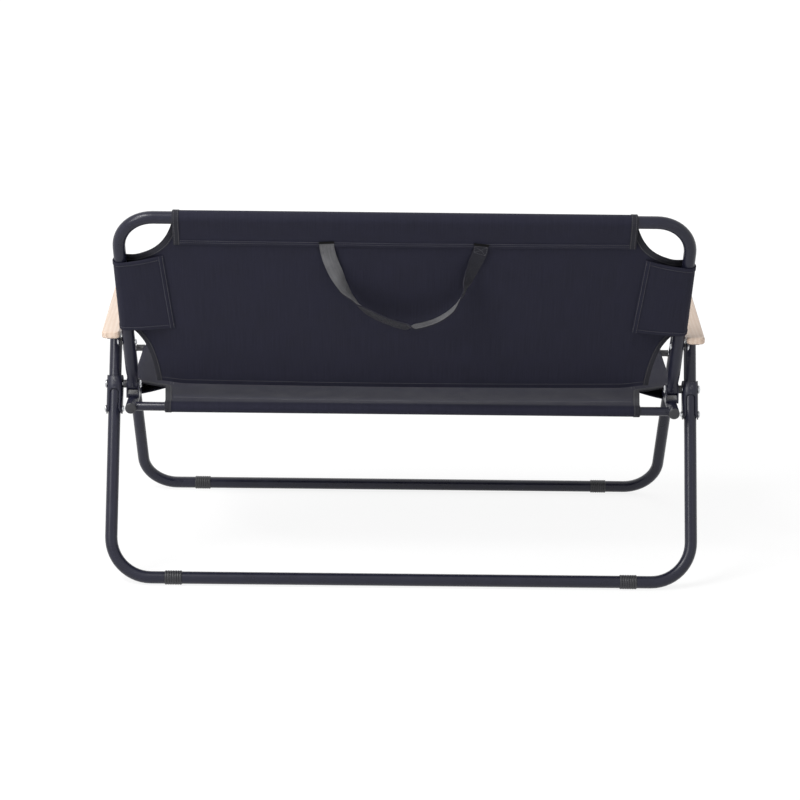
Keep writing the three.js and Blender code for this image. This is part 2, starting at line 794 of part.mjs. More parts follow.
// Seat sling: sleeves over the side tubes, hems over both rails, corners cut away at the joints
const seatSag = 18;
const seatRearInset = 61;
const seatFrontInset = 30.5;
const seatRearHalf = seatHalfWidth - seatRearInset;
const seatFrontHalf = seatHalfWidth - seatFrontInset;
const seatSleeveRear = 65;
const seatSleeveFrontMargin = 14;
const seatCornerInset = 12;

function seatSling() {
  const wrap = hemRadius(seatTubeRadius);
  const railWrap = hemRadius(railRadius);
  const edge = seatHalfWidth - seatTubeRadius / 2;
  const outside = seatHalfWidth + wrap + overrun;
  const rear = rearRailY + railWrap + overrun;
  const front = frontRailY - railWrap - overrun;
  const sleeveFront = -seatPivotSpan + seatSleeveFrontMargin;
  const sheet = saggingSheet(edge, frontRailY, rearRailY, seatSag, frontRailY);
  sheet.rotateX(-Math.PI / 2).translate(0, 0, tubeZ + railWrap - clothThickness / 2 - sleeveGap);
  const leftSide = new THREE.Path();
  leftSide.moveTo(seatRearHalf, rear);
  leftSide.lineTo(seatRearHalf, rearRailY - railWrap);
  leftSide.quadraticCurveTo(
    seatRearHalf + seatCornerInset,
    -seatSleeveRear + seatCornerInset,
    seatHalfWidth - wrap,
    -seatSleeveRear,
  );
  leftSide.lineTo(outside, -seatSleeveRear);
  leftSide.lineTo(outside, sleeveFront);
  leftSide.lineTo(seatHalfWidth - wrap, sleeveFront);
  leftSide.lineTo(seatFrontHalf, sleeveFront - seatCornerInset);
  leftSide.lineTo(seatFrontHalf, front);
  const tubes = (grow) => [
    barAlong(seatTubeRadius + grow, front, rear, seatHalfWidth, tubeZ),
    barAlong(seatTubeRadius + grow, front, rear, -seatHalfWidth, tubeZ),
    barAcross(railRadius + grow, -seatHalfWidth, seatHalfWidth, rearRailY, tubeZ),
    barAcross(railRadius + grow, -seatHalfWidth, seatHalfWidth, frontRailY, tubeZ),
  ];
  const cloth = joined(sheet, ...tubes(sleeveGap + clothThickness));
  return cut(common(cloth, cutOutline(leftSide, 4 * backLength)), ...tubes(sleeveGap));
}

addPiece(seat, "seat_sling", seatSling(), fabric);

// Back sling: a hem over the top tube, sleeves over the side tubes, and four rounded cut-outs
const backSag = 12;
const backSheetSetback = 5;
const backHemInset = 97;
const backHemDrop = 20;
const backBottom = 8;
const backBottomInset = 43;
const armToSleeve = 28.5;
const topToSleeve = 88;
const topToOpening = 82;
const openingLean = 4.7;
const openingTurn = 12.6;
const openingRise = 22.5;
const openingReach = 20;
const openingFoot = 3.6;
const openingInset = 54.5;
const backHemHalf = backTopHalfWidth - backHemInset;
const backBottomHalf = seatHalfWidth - backBottomInset;
const backOpeningHalf = seatHalfWidth - openingInset;
const backSleeveBottom = armPivotHeight + armToSleeve;
const backSleeveTop = backLength - topToSleeve;
const backOpeningBottom = backLength - topToOpening;
const bandSeamInset = 74.5;
const hemSeamDrop = 43;
const seamFront = 5.5;
const seamRear = 9.5;
const seamWidth = 2;

function backSling() {
  const wrap = hemRadius(backRadius);
  const outside = backTopHalfWidth + wrap + overrun;
  const edge = seatHalfWidth - backRadius / 2;
  const top = backLength + wrap + overrun;
  const sheet = saggingSheet(edge, backBottom, backLength, backSag, -backSleeveBottom / 2);
  sheet.translate(0, backSheetSetback, 0);
  const leftSide = new THREE.Path();
  leftSide.moveTo(backHemHalf, top);
  leftSide.lineTo(backHemHalf, backLength - backHemDrop);
  leftSide.quadraticCurveTo(
    backHemHalf + openingLean,
    backLength - backHemDrop - openingTurn,
    backOpeningHalf,
    backOpeningBottom + openingRise,
  );
  leftSide.quadraticCurveTo(
    backOpeningHalf + openingReach,
    backOpeningBottom + openingFoot,
    seatHalfWidth - railRadius,
    backOpeningBottom - armEdge,
  );
  leftSide.lineTo(outside, backSleeveTop);
  leftSide.lineTo(outside, backSleeveBottom);
  leftSide.lineTo(seatHalfWidth - wrap - armEdge, backSleeveBottom);
  leftSide.quadraticCurveTo(
    backBottomHalf + 2 * armEdge,
    backSleeveBottom / 2,
    backBottomHalf,
    backSleeveBottom / 3,
  );
  leftSide.lineTo(backBottomHalf, backBottom - overrun);
  const prism = cutOutline(leftSide, 4 * backLength).rotateX(Math.PI / 2);
  // The cloth is doubled round the tubes and sewn down, so the bands and the hem are pear-shaped
  const bandSeam = seatHalfWidth - bandSeamInset;
  const hemSeam = backLength - hemSeamDrop;
  const doubled = (radius, inset) => {
    const tube = bentTube(backCorners, backBend, radius);
    const bands = [1, -1].map((side) => {
      const from = bandSeam + inset;
      const near = Math.min(side * from, side * outside);
      const far = Math.max(side * from, side * outside);
      const stretch = boxBetween(near, far, -wrap, wrap, backSleeveBottom - inset, backSleeveTop + inset);
      const seam = boxBetween(
        side > 0 ? from : -from - seamWidth,
        side > 0 ? from + seamWidth : -from,
        seamFront + inset / 2,
        seamRear - inset / 2,
        backSleeveBottom - inset,
        backSleeveTop + inset,
      );
      return wrapped(common(tube, stretch), seam);
    });
    const over = boxBetween(-backHemHalf - inset, backHemHalf + inset, -wrap, wrap, backLength - wrap, top);
    const seam = boxBetween(
      -backHemHalf - inset,
      backHemHalf + inset,
      seamFront + inset / 2,
      seamRear - inset / 2,
      hemSeam + inset,
      hemSeam + inset + seamWidth,
    );
    return [...bands, wrapped(common(tube, over), seam)];
  };
  const cloth = joined(sheet, bentTube(backCorners, backBend, wrap), ...doubled(wrap, 0));
  return cut(
    common(cloth, prism),
    bentTube(backCorners, backBend, backRadius + sleeveGap),
    ...doubled(backRadius + sleeveGap, clothThickness),
  );
}

addPiece(back, "back_sling", backSling(), fabric);

// Carry handle: a webbing strap sewn below the top hem. Its ends lie flat on the sling, and it
// turns edge-on where it hangs lowest. Route shares: half span across, stand-off, drop.
const handleWidth = 25;
const handleThickness = 2.4;
const handleHalfSpan = 133;
const topToHandle = 41;
const handleAnchor = backLength - topToHandle;
const handleDrop = 148;
const handleStandOff = 38;
const handleSeat = 12.25;
const turnStartShare = 0.1;
const turnEndShare = 0.42;
const handleRouteShares = [
  [1, 0, 0],
  [1, 0, 0.12],
  [0.95, 0.1, 0.27],
  [0.83, 0.32, 0.45],
  [0.54, 0.74, 0.77],
  [0.24, 0.95, 0.94],
  [-0.04, 1, 1],
  [-0.35, 0.93, 0.95],
  [-0.64, 0.72, 0.78],
  [-0.82, 0.38, 0.48],
  [-0.95, 0.1, 0.27],
  [-1, 0, 0.12],
  [-1, 0, 0],
];

function carryHandle() {
  const route = new THREE.CatmullRomCurve3(
    handleRouteShares.map(
      ([across, out, down]) =>
        new THREE.Vector3(
          across * handleHalfSpan,
          handleSeat + out * handleStandOff,
          handleAnchor - down * handleDrop,
        ),
    ),
  );
  const stations = 36;
  const corners = [
    [-1, -1],
    [1, -1],
    [1, 1],
    [-1, 1],
  ];
  const positions = [];
  const index = [];
  for (let i = 0; i <= stations; i += 1) {
    const t = i / stations;
    const centre = route.getPointAt(t);
    const along = route.getTangentAt(t);
    const fromEnd = 0.5 - Math.abs(t - 0.5);
    const turn = THREE.MathUtils.smoothstep(fromEnd, turnStartShare, turnEndShare);
    const flat = new THREE.Vector3(1 - turn, turn, 0);
    flat.addScaledVector(along, -flat.dot(along)).normalize();
    const normal = new THREE.Vector3().crossVectors(along, flat);
    for (const [wide, thick] of corners) {
      const corner = centre.clone().addScaledVector(flat, (wide * handleWidth) / 2);
      positions.push(...corner.addScaledVector(normal, (thick * handleThickness) / 2).toArray());
    }
  }
  for (let i = 0; i < stations; i += 1) {
    for (let k = 0; k < 4; k += 1) {
      const a = 4 * i + k;
      const b = 4 * i + ((k + 1) % 4);
      index.push(a, b, b + 4, a, b + 4, a + 4);
    }
  }
  const last = 4 * stations;
  index.push(0, 2, 1, 0, 3, 2);
  index.push(last, last + 1, last + 2, last, last + 2, last + 3);
  const strap = new THREE.BufferGeometry();
  strap.setAttribute("position", new THREE.Float32BufferAttribute(positions, 3));
  strap.setIndex(index);
  strap.computeVertexNormals();
  return strap;
}

addPiece(back, "carry_handle", carryHandle(), webbing);

// The part's origin is under its middle, on the floor
loveseat.updateMatrixWorld(true);
const reach = new THREE.Box3().setFromObject(loveseat, true);
const middle = reach.getCenter(new THREE.Vector3());
loveseat.position.set(-middle.x, -middle.y, -reach.min.z);

export default loveseat;
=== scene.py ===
"""The looks of a folding camping loveseat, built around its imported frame, in metres.

+Z is up, the sitter looks along -Y, and +X is the sitter's left. The photograph is taken from behind.
"""

import json
import math

import bpy
from mathutils import Matrix, Vector, noise


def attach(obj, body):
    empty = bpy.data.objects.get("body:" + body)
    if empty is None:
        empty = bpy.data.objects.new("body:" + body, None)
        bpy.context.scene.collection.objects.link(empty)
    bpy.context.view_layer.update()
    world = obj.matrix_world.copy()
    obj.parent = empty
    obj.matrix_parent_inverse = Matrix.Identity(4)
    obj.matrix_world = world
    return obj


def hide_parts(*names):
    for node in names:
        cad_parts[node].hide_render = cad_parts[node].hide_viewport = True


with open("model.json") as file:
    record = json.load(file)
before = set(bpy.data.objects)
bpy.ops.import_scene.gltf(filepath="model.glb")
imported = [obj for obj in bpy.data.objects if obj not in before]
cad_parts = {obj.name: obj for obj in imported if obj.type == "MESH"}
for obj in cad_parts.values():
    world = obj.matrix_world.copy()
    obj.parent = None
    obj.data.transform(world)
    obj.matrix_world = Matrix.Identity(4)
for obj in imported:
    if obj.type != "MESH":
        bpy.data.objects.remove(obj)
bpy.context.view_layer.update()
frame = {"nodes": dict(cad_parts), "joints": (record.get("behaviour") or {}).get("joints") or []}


# The photographer's table: a white floor and backdrop with no edge, and a long lens from behind.
# The lamps are large and soft, so the dark tubes carry one broad, calm highlight each.
def leave_edit():
    bpy.ops.object.mode_set(mode="OBJECT")


def deselect():
    if bpy.context.object and bpy.context.object.mode != "OBJECT":
        leave_edit()
    bpy.ops.object.select_all(action="DESELECT")


def begin(add, name="part", **sizes):
    """A plain shape to work on, added by one of the mesh operators."""
    deselect()
    add(**sizes)
    piece = bpy.context.object
    piece.name = name
    return piece


def link(name, data):
    """A new object in the scene."""
    holder = bpy.data.objects.new(name, data)
    bpy.context.collection.objects.link(holder)
    return holder


def make(tree, kind, sockets=None, **settings):
    """Adds a node, sets its settings, and fills its sockets with values or with other nodes' sockets."""
    made = tree.nodes.new(kind)
    for name, value in settings.items():
        setattr(made, name, value)
    for name, value in (sockets or {}).items():
        if isinstance(value, bpy.types.NodeSocket):
            tree.links.new(value, made.inputs[name])
        else:
            made.inputs[name].default_value = value
    return made


def cleared(owner):
    """The empty node tree of a new material or world."""
    owner.use_nodes = True
    owner.node_tree.nodes.clear()
    return owner.node_tree


def reckon(tree, operation, *terms, **settings):
    """The result of one arithmetic step on numbers and sockets."""
    return make(tree, "ShaderNodeMath", dict(enumerate(terms)), operation=operation, **settings).outputs[0]


def ranged(tree, value, low, high, to_low=0.0, to_high=1.0):
    """A value moved from one range into another, and held inside it."""
    sockets = {"Value": value, "From Min": low, "From Max": high, "To Min": to_low, "To Max": to_high}
    return make(tree, "ShaderNodeMapRange", sockets).outputs["Result"]


def seen_straight(tree):
    """1 for camera, mirror and glass rays, so that the white surround looks the same in all three."""
    rays = make(tree, "ShaderNodeLightPath").outputs
    either = reckon(tree, "MAXIMUM", rays["Is Camera Ray"], rays["Is Glossy Ray"])
    return reckon(tree, "MAXIMUM", either, rays["Is Transmission Ray"])


floor_size = 60
floor_white = (0.92, 0.92, 0.92, 1)
shadow_share = 0.22
shadow_reach = (0.9, 2.4)
floor_glow = 1.1
room_light = 0.45
white = (1, 1, 1, 1)
floor = begin(bpy.ops.mesh.primitive_plane_add, "floor", size=floor_size, location=(0, 0, 0))
paper = bpy.data.materials.new("white_paper")
tree = cleared(paper)
matte = make(tree, "ShaderNodeBsdfDiffuse", {"Color": floor_white})
glow = make(tree, "ShaderNodeEmission", {"Color": white, "Strength": floor_glow})
where = make(tree, "ShaderNodeTexCoord").outputs["Object"]
away = make(tree, "ShaderNodeVectorMath", {0: where}, operation="LENGTH").outputs["Value"]
share = reckon(tree, "MULTIPLY", seen_straight(tree), ranged(tree, away, *shadow_reach, 1 - shadow_share))
blend = make(tree, "ShaderNodeMixShader", {0: share, 1: matte.outputs[0], 2: glow.outputs[0]})
make(tree, "ShaderNodeOutputMaterial", {"Surface": blend.outputs[0]})
floor.data.materials.append(paper)

room = bpy.data.worlds.new("white_room")
bpy.context.scene.world = room
tree = cleared(room)
straight = make(tree, "ShaderNodeBackground", {"Color": white, "Strength": 1.0})
around = make(tree, "ShaderNodeBackground", {"Color": white, "Strength": room_light})
choice = make(
    tree, "ShaderNodeMixShader", {0: seen_straight(tree), 1: around.outputs[0], 2: straight.outputs[0]}
)
make(tree, "ShaderNodeOutputWorld", {"Surface": choice.outputs[0]})

camera_place = Vector((0.021, 4.438, 1.470))
camera_lens = 111.43
sensor_width = 36
camera_pitch = math.radians(15.18)
camera_yaw = math.radians(-0.22)
camera_roll = math.radians(0.65)
lens = bpy.data.cameras.new("rear_view")
lens.lens = camera_lens
lens.sensor_width = sensor_width
camera = link("rear_view", lens)
ahead = Vector((math.sin(camera_yaw), -math.cos(camera_yaw), 0))
ahead = ahead * math.cos(camera_pitch) - Vector((0, 0, math.sin(camera_pitch)))
aim = ahead.to_track_quat("-Z", "Y").to_matrix().to_4x4()
camera.matrix_world = Matrix.Translation(camera_place) @ aim @ Matrix.Rotation(camera_roll, 4, "Z")
bpy.context.scene.camera = camera
bpy.context.scene.view_settings.view_transform = "Standard"

lamps_aim = Vector((0, 0, 0.35))
for name, place, size, watts in (
    ("key_softbox", (2.7, 2.5, 2.2), (1.2, 1.2), 42),
    ("fill_softbox", (-2.8, 3.2, 1.6), (1.6, 1.6), 3.5),
    ("top_softbox", (1.7, 1.5, 2.9), (1.3, 0.6), 54),
    ("front_softbox", (0.5, -3.0, 2.6), (2.4, 2.4), 16),
):
    light = bpy.data.lights.new(name, "AREA")
    light.shape = "RECTANGLE"
    light.size, light.size_y = size
    light.energy = watts
    lamp = link(name, light)
    lamp.location = place
    lamp.rotation_euler = (lamps_aim - Vector(place)).to_track_quat("-Z", "Y").to_euler()


# Where each rigid group stands: its main pivot, and how far it leans in the side view.
# Sizes in a section are the real piece's own, drawn along its tubes and then leaned into place.
pivots = {joint["name"]: Vector(joint["pos_m"]) for joint in frame["joints"]}
front_leg_rake = 23


def leaning(joint, degrees):
    return Matrix.Translation(pivots[joint]) @ Matrix.Rotation(math.radians(degrees), 4, "X")


arm_lean = leaning("armrest_fold_left", -3.7)
leans = {
    "seat_frame": leaning("back_fold", -3.3),
    "back": leaning("back_fold", -23),
    "rear_legs": leaning("back_fold", 22.75),
    "front_legs": leaning("front_leg_fold", -front_leg_rake),
    "left_armrest": arm_lean,
    "right_armrest": arm_lean,
}


def choose(piece):
    """Makes one piece the only one that is selected, and the active one."""
    deselect()
    piece.select_set(True)
    bpy.context.view_layer.objects.active = piece


def settle(piece, body, finish, *nodes, smooth=35, in_place=False):
    """Leans a piece into place, unless it is there, gives it its finish, and lets it ride on its body."""
    choose(piece)
    if not in_place:
        piece.data.transform(leans[body])
    material, slot = finish
    piece.data.materials.clear()
    piece.data.materials.append(material)
    bpy.ops.object.shade_smooth_by_angle(angle=math.radians(smooth))
    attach(piece, body)
    if nodes:
        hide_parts(*nodes)
    return piece


# Shared effects. Mottle is the cloudy unevenness of any real surface, and wear is the thin light
# line where a finish rubs off an edge. Each finish gives them its own scale and strength.
def start_group(name, values):
    """A shared effect, which takes a place and named numbers."""
    group = bpy.data.node_groups.new(name, "ShaderNodeTree")
    group.interface.new_socket(name="Place", in_out="INPUT", socket_type="NodeSocketVector")
    for label, default in values.items():
        socket = group.interface.new_socket(name=label, in_out="INPUT", socket_type="NodeSocketFloat")
        socket.default_value = default
    return group, make(group, "NodeGroupInput").outputs


def end_group(group, results):
    """Gives out a shared effect's named numbers."""
    for label in results:
        group.interface.new_socket(name=label, in_out="OUTPUT", socket_type="NodeSocketFloat")
    make(group, "NodeGroupOutput", results)


def effect(tree, group, *values):
    """A shared effect's results. The values fill its sockets in order, with the place first."""
    return make(tree, "ShaderNodeGroup", dict(enumerate(values)), node_tree=group).outputs


def clouds(tree, place, scale, detail, roughness=0.5):
    sockets = {"Vector": place, "Scale": scale, "Detail": detail, "Roughness": roughness}
    return make(tree, "ShaderNodeTexNoise", sockets).outputs


def stretched(tree, place, scale):
    return make(tree, "ShaderNodeMapping", {"Vector": place, "Scale": scale}).outputs[0]


def bumped(tree, height, strength, distance, **settings):
    sockets = {"Strength": strength, "Distance": distance, "Height": height}
    return make(tree, "ShaderNodeBump", sockets, **settings).outputs[0]


def mixed(tree, share, first, second):
    """A colour between two, by a share that changes over the surface."""
    return make(tree, "ShaderNodeMix", {0: share, 6: first, 7: second}, data_type="RGBA").outputs[2]


def surfaced(tree, colour, roughness, relief, more):
    """Ends a material with its shader."""
    sockets = {"Base Color": colour, "Roughness": roughness, "Normal": relief, **(more or {})}
    shader = make(tree, "ShaderNodeBsdfPrincipled", sockets)
    make(tree, "ShaderNodeOutputMaterial", {"Surface": shader.outputs[0]})


mottle, given = start_group("mottle", {"Scale": 60.0, "Low": 0.4, "High": 0.5})
cloud = clouds(mottle, given["Place"], given["Scale"], 5.0, 0.55)["Fac"]
spread = ranged(mottle, cloud, 0.3, 0.7, given["Low"], given["High"])
end_group(mottle, {"Value": spread, "Cloud": cloud})

wear, given = start_group("edge_wear", {"Start": 0.53, "End": 0.6, "Scale": 180.0})
edge = make(wear, "ShaderNodeNewGeometry").outputs["Pointiness"]
ridge = ranged(wear, edge, given["Start"], given["End"])
patchy = ranged(wear, clouds(wear, given["Place"], given["Scale"], 3.0)["Fac"], 0.45, 0.65)
end_group(wear, {"Mask": reckon(wear, "MULTIPLY", ridge, patchy)})


def coated(name, slot, tones, haze, rub, skin, relief, stretch=(1.0, 1.0, 1.0), more=None):
    """A finish of two tones with a third where it is rubbed. Haze is the mottle's scale and its range
    of roughness, rub the wear's range and scale, skin a noise's scale and detail, relief its bump."""
    material = bpy.data.materials.new(name)
    tree = cleared(material)
    where = make(tree, "ShaderNodeTexCoord").outputs["Object"]
    misty = effect(tree, mottle, where, *haze)
    tone = mixed(tree, misty["Cloud"], tones[0], tones[1])
    tone = mixed(tree, effect(tree, wear, where, *rub)["Mask"], tone, tones[2])
    grain = clouds(tree, stretched(tree, where, stretch), *skin)["Fac"]
    surfaced(tree, tone, misty["Value"], bumped(tree, grain, *relief), more)
    return material, slot


# Rear legs: one steel tube bent into a wide U, with its posts running on above the pivots.
# Satin black powder coat, faintly blue, with fine orange peel and a little rub along the bends.
paint = coated(
    "satin_black_paint",
    "tube_paint",
    tones=((0.011, 0.011, 0.022, 1), (0.017, 0.018, 0.035, 1), (0.09, 0.09, 0.1, 1)),
    haze=(35.0, 0.25, 0.36),
    rub=(0.56, 0.68, 240.0),
    skin=(650.0, 2.0),
    relief=(0.08, 0.0003),
    more={"Specular IOR Level": 0.34},
)


def edit(piece, kind="VERT", action="DESELECT"):
    """Goes into edit mode on one piece, with nothing or everything selected."""
    choose(piece)
    bpy.ops.object.mode_set(mode="EDIT")
    bpy.ops.mesh.select_mode(type=kind)
    bpy.ops.mesh.select_all(action=action)


def outside(piece, merge=1e-6):
    """Merges doubles and turns every face outwards."""
    edit(piece, action="SELECT")
    if merge:
        bpy.ops.mesh.remove_doubles(threshold=merge)
    bpy.ops.mesh.normals_make_consistent(inside=False)
    leave_edit()


def end_disc(name, radius, start, toward, sides):
    """A disc at a tube's start, square to the way that the tube goes."""
    disc = begin(bpy.ops.mesh.primitive_circle_add, name, vertices=sides, radius=radius, fill_type="NGON")
    heading = (toward - start).normalized()
    disc.data.transform(Matrix.Translation(start) @ heading.to_track_quat("Z", "X").to_matrix().to_4x4())
    return disc


def bent_tube(name, radius, end, corner, bend, sides=32, steps=14):
    """A U of tube, drawn out along each straight run and spun round each bend, as a bender does it.
    Its end and its corner on the left side are given as (across, up)."""
    half = [Vector((end[0], 0, end[1])), Vector((corner[0], 0, corner[1]))]
    corners = half + [Vector((-stop.x, 0, stop.z)) for stop in reversed(half)]
    tube = end_disc(name, radius, corners[0], corners[1], sides)
    edit(tube, action="SELECT")
    place = corners[0]
    for before, stop, after in zip(corners, corners[1:], corners[2:]):
        inward = (stop - before).normalized()
        onward = (after - stop).normalized()
        swing = inward.angle(onward)
        setback = bend * math.tan(swing / 2)
        run = stop - inward * setback - place
        bpy.ops.mesh.extrude_region_move(TRANSFORM_OT_translate={"value": run})
        axis = inward.cross(onward).normalized()
        centre = place + run + axis.cross(inward) * bend
        bpy.ops.mesh.spin(steps=steps, angle=-swing, center=centre, axis=axis)
        place = stop + onward * setback
    bpy.ops.mesh.extrude_region_move(TRANSFORM_OT_translate={"value": corners[-1] - place})
    leave_edit()
    outside(tube)
    return tube


leg_radius = 0.011
rear_half = 0.515
rear_leg_length = 0.346
post_length = 0.082
rear_bend = 0.072
rear_leg = bent_tube(
    "rear_leg_tube", leg_radius, (rear_half, post_length), (rear_half, -rear_leg_length), rear_bend
)
settle(rear_leg, "rear_legs", paint, "rear_leg_frame", smooth=50)


# Front legs: the same tube in a wider U whose legs splay a little towards the top.
# They pass outside the seat and carry the armrests' front ends.
pivot_half = 0.5202
front_bar_half = 0.507
front_bar_height = 0.0126
front_leg_length = (pivots["front_leg_fold"].z - front_bar_height) / math.cos(math.radians(front_leg_rake))
front_top = 0.1065
front_bend = 0.065
splay = (pivot_half - front_bar_half) / front_leg_length


def front_half_at(height):
    return pivot_half + splay * height


front_end = (front_half_at(front_top), front_top)
front_leg = bent_tube(
    "front_leg_tube", leg_radius, front_end, (front_bar_half, -front_leg_length), front_bend
)
settle(front_leg, "front_legs", paint, "front_leg_frame", smooth=50)


# Back frame: an upturned U. Each lower end is pressed flat and rounded off, so that it drops
# between the ears of its clevis, and the press leaves a short taper above the flat.
back_radius = 0.011
seat_half = 0.4825
back_flare = 0.0095
back_length = 0.359
back_bend = 0.061
lug_half = 0.009
lug_rim = 0.0012
flat_height = 0.020
flat_blend = 0.014
hair = 1e-6


def back_half_at(height):
    return seat_half + back_flare * height / back_length


def pick(piece, kind, test):
    """Goes into edit mode with the corners, edges or faces selected that pass a test."""
    edit(piece, kind)
    leave_edit()
    mesh = piece.data
    for part in {"VERT": mesh.vertices, "EDGE": mesh.edges, "FACE": mesh.polygons}[kind]:
        part.select = test([mesh.vertices[i].co for i in getattr(part, "vertices", [part.index])])
    bpy.ops.object.mode_set(mode="EDIT")


def bevel(width, segments):
    bpy.ops.mesh.bevel(offset=width, segments=segments, affect="EDGES")
    leave_edit()


def applied(piece, kind, **settings):
    """Adds a modifier to a piece and makes its result final."""
    change = piece.modifiers.new(kind.lower(), kind)
    for name, value in settings.items():
        setattr(change, name, value)
    bpy.context.view_layer.objects.active = piece
    bpy.ops.object.modifier_apply(modifier=change.name)


def combined(piece, other, operation="UNION"):
    """Welds another solid to a piece, or sinks its shape into it."""
    applied(piece, "BOOLEAN", operation=operation, object=other)
    bpy.data.objects.remove(other)


def lying_at(*place):
    """Turns what was made about +Z to lie across the chair, at a place."""
    return Matrix.Translation(place) @ Matrix.Rotation(math.pi / 2, 4, "Y")


top_corner = (back_half_at(back_length), back_length)
back_tube = bent_tube("back_tube", back_radius, (seat_half, 0), top_corner, back_bend)
for side in (-1, 1):
    for height in (flat_height, flat_height + flat_blend / 2, flat_height + flat_blend):
        limit = back_length / 2 + back_bend * 2
        pick(back_tube, "VERT", lambda ends: ends[0].x * side > 0 and ends[0].z < limit)
        bpy.ops.mesh.bisect(plane_co=(side * seat_half, 0, height), plane_no=(0, 0, 1))
leave_edit()
for vertex in back_tube.data.vertices:
    if vertex.co.z < flat_height + flat_blend / 2 + 0.001:
        centre = math.copysign(back_half_at(max(vertex.co.z, 0)), vertex.co.x)
        press = lug_half / back_radius
        rise = max(0.0, min(1.0, (vertex.co.z - flat_height) / flat_blend))
        press = press + (1 - press) * rise
        across = vertex.co.x - centre
        vertex.co.x = centre + math.copysign(min(abs(across), back_radius * press), across)
lugs = []
for side in (-1, 1):
    lug = begin(bpy.ops.mesh.primitive_cylinder_add, vertices=40, radius=back_radius, depth=2 * lug_half)
    lug.data.transform(lying_at(side * seat_half, 0, 0))
    pick(lug, "EDGE", lambda ends: abs(ends[0].x - ends[1].x) < hair)
    bevel(lug_rim, 3)
    lugs.append(lug)
for lug in lugs:
    deselect()
    combined(back_tube, lug)
settle(back_tube, "back", paint, "back_frame", smooth=50)


# Seat frame: two short side tubes with two thinner rails coped and welded between them.
# Each weld is a small rippled bead round the rail's end.
seat_tube_radius = 0.010
rail_radius = 0.008
tube_drop = -0.0288
tube_rear = 0.0517
tube_front = -0.343
tube_rim = 0.0008
rail_rear = 0.0397
rail_front = -0.328
rails = (("rear", rail_rear), ("front", rail_front))


def straight_tube(name, radius, start, end, node, sides=32):
    """A round tube of the seat frame, with its sharp end edges broken by a small bevel."""
    start, end = Vector(start), Vector(end)
    tube = end_disc(name, radius, start, end, sides)
    edit(tube, "FACE", "SELECT")
    bpy.ops.mesh.extrude_region_move(TRANSFORM_OT_translate={"value": end - start})
    leave_edit()
    outside(tube)
    pick(tube, "FACE", lambda ring: len(ring) == sides)
    bpy.ops.mesh.region_to_loop()
    bevel(tube_rim, 2)
    settle(tube, "seat_frame", paint, node)


for side, word in ((1, "left"), (-1, "right")):
    ends = [(side * seat_half, along, tube_drop) for along in (tube_front, tube_rear)]
    straight_tube(f"seat_tube_{word}", seat_tube_radius, *ends, f"seat_side_tube_{word}")
for word, along in rails:
    ends = [(side * seat_half, along, tube_drop) for side in (-1, 1)]
    straight_tube(f"{word}_rail", rail_radius, *ends, f"seat_{word}_rail")

bead_radius = 0.0013
bead_lift = 0.0004
ripple_size = 0.22
ripples = 24
for word, along in rails:
    beads = []
    for side in (-1, 1):
        bead = begin(
            bpy.ops.mesh.primitive_torus_add,
            f"{word}_rail_welds",
            major_radius=rail_radius + bead_lift,
            minor_radius=bead_radius,
            major_segments=72,
            minor_segments=8,
        )
        for vertex in bead.data.vertices:
            angle = math.atan2(vertex.co.y, vertex.co.x)
            ring = Vector((math.cos(angle), math.sin(angle), 0)) * rail_radius
            vertex.co = ring + (vertex.co - ring) * (1 + ripple_size * math.sin(ripples * angle))
            reach = abs(vertex.co.x)
            vertex.co.z -= seat_tube_radius - math.sqrt(max(seat_tube_radius**2 - reach**2, 0))
        shift = (side * (seat_half - seat_tube_radius - bead_radius / 2), along, tube_drop)
        bead.data.transform(Matrix.Translation(shift) @ Matrix.Rotation(-side * math.pi / 2, 4, "Y"))
        beads.append(bead)
    choose(beads[0])
    beads[1].select_set(True)
    bpy.ops.object.join()
    weld = bpy.context.object
    weld.name = f"{word}_rail_welds"
    outside(weld)
    settle(weld, "seat_frame", paint, smooth=60)


# Tube caps: black moulded plugs with a short rim and a low dome, pressed into every open tube end.
# The plastic has a low sheen, with a fine sandblasted skin.
plastic = coated(
    "satin_black_plastic",
    "black_plastic",
    tones=((0.018, 0.018, 0.022, 1), (0.031, 0.031, 0.036, 1), (0.1, 0.1, 0.107, 1)),
    haze=(90.0, 0.34, 0.48),
    rub=(0.55, 0.7, 300.0),
    skin=(1500.0, 2.0),
    relief=(0.3, 0.0002),
)
mirror = Matrix.Diagonal((-1, 1, 1, 1))


def settle_pair(left, body, finish, node, smooth=35):
    """Settles a left-hand piece and its mirror image, each in the place of its own node."""
    right = link(left.name.replace("_left", "_right"), left.data.copy())
    right.data.transform(mirror)
    right.data.flip_normals()
    for piece, word in ((left, "left"), (right, "right")):
        rides = f"{word}_armrest" if body == "armrest" else body
        settle(piece, rides, finish, f"{node}_{word}", smooth=smooth)


def turned(name, profile, steps=40, closed=False):
    """Spins a profile of (radius, height) points about +Z, as on a lathe."""
    piece = begin(bpy.ops.mesh.primitive_plane_add, name, size=1)
    edit(piece, action="SELECT")
    bpy.ops.mesh.merge(type="CENTER")
    leave_edit()
    piece.data.vertices[0].co = (profile[0][0], 0, profile[0][1])
    edit(piece, action="SELECT")
    for start, end in zip(profile, profile[1:]):
        step = (end[0] - start[0], 0, end[1] - start[1])
        bpy.ops.mesh.extrude_region_move(TRANSFORM_OT_translate={"value": step})
    if closed:
        bpy.ops.mesh.select_all(action="SELECT")
        bpy.ops.mesh.remove_doubles(threshold=1e-7)
    bpy.ops.mesh.select_all(action="SELECT")
    bpy.ops.mesh.spin(steps=steps, angle=math.tau, center=(0, 0, 0), axis=(0, 0, 1))
    leave_edit()
    outside(piece)
    return piece


cap_rim = 0.0015
cap_crown = 0.002
cap_edge = 0.0004
cap_lift = 0.0003
dome_steps = 6


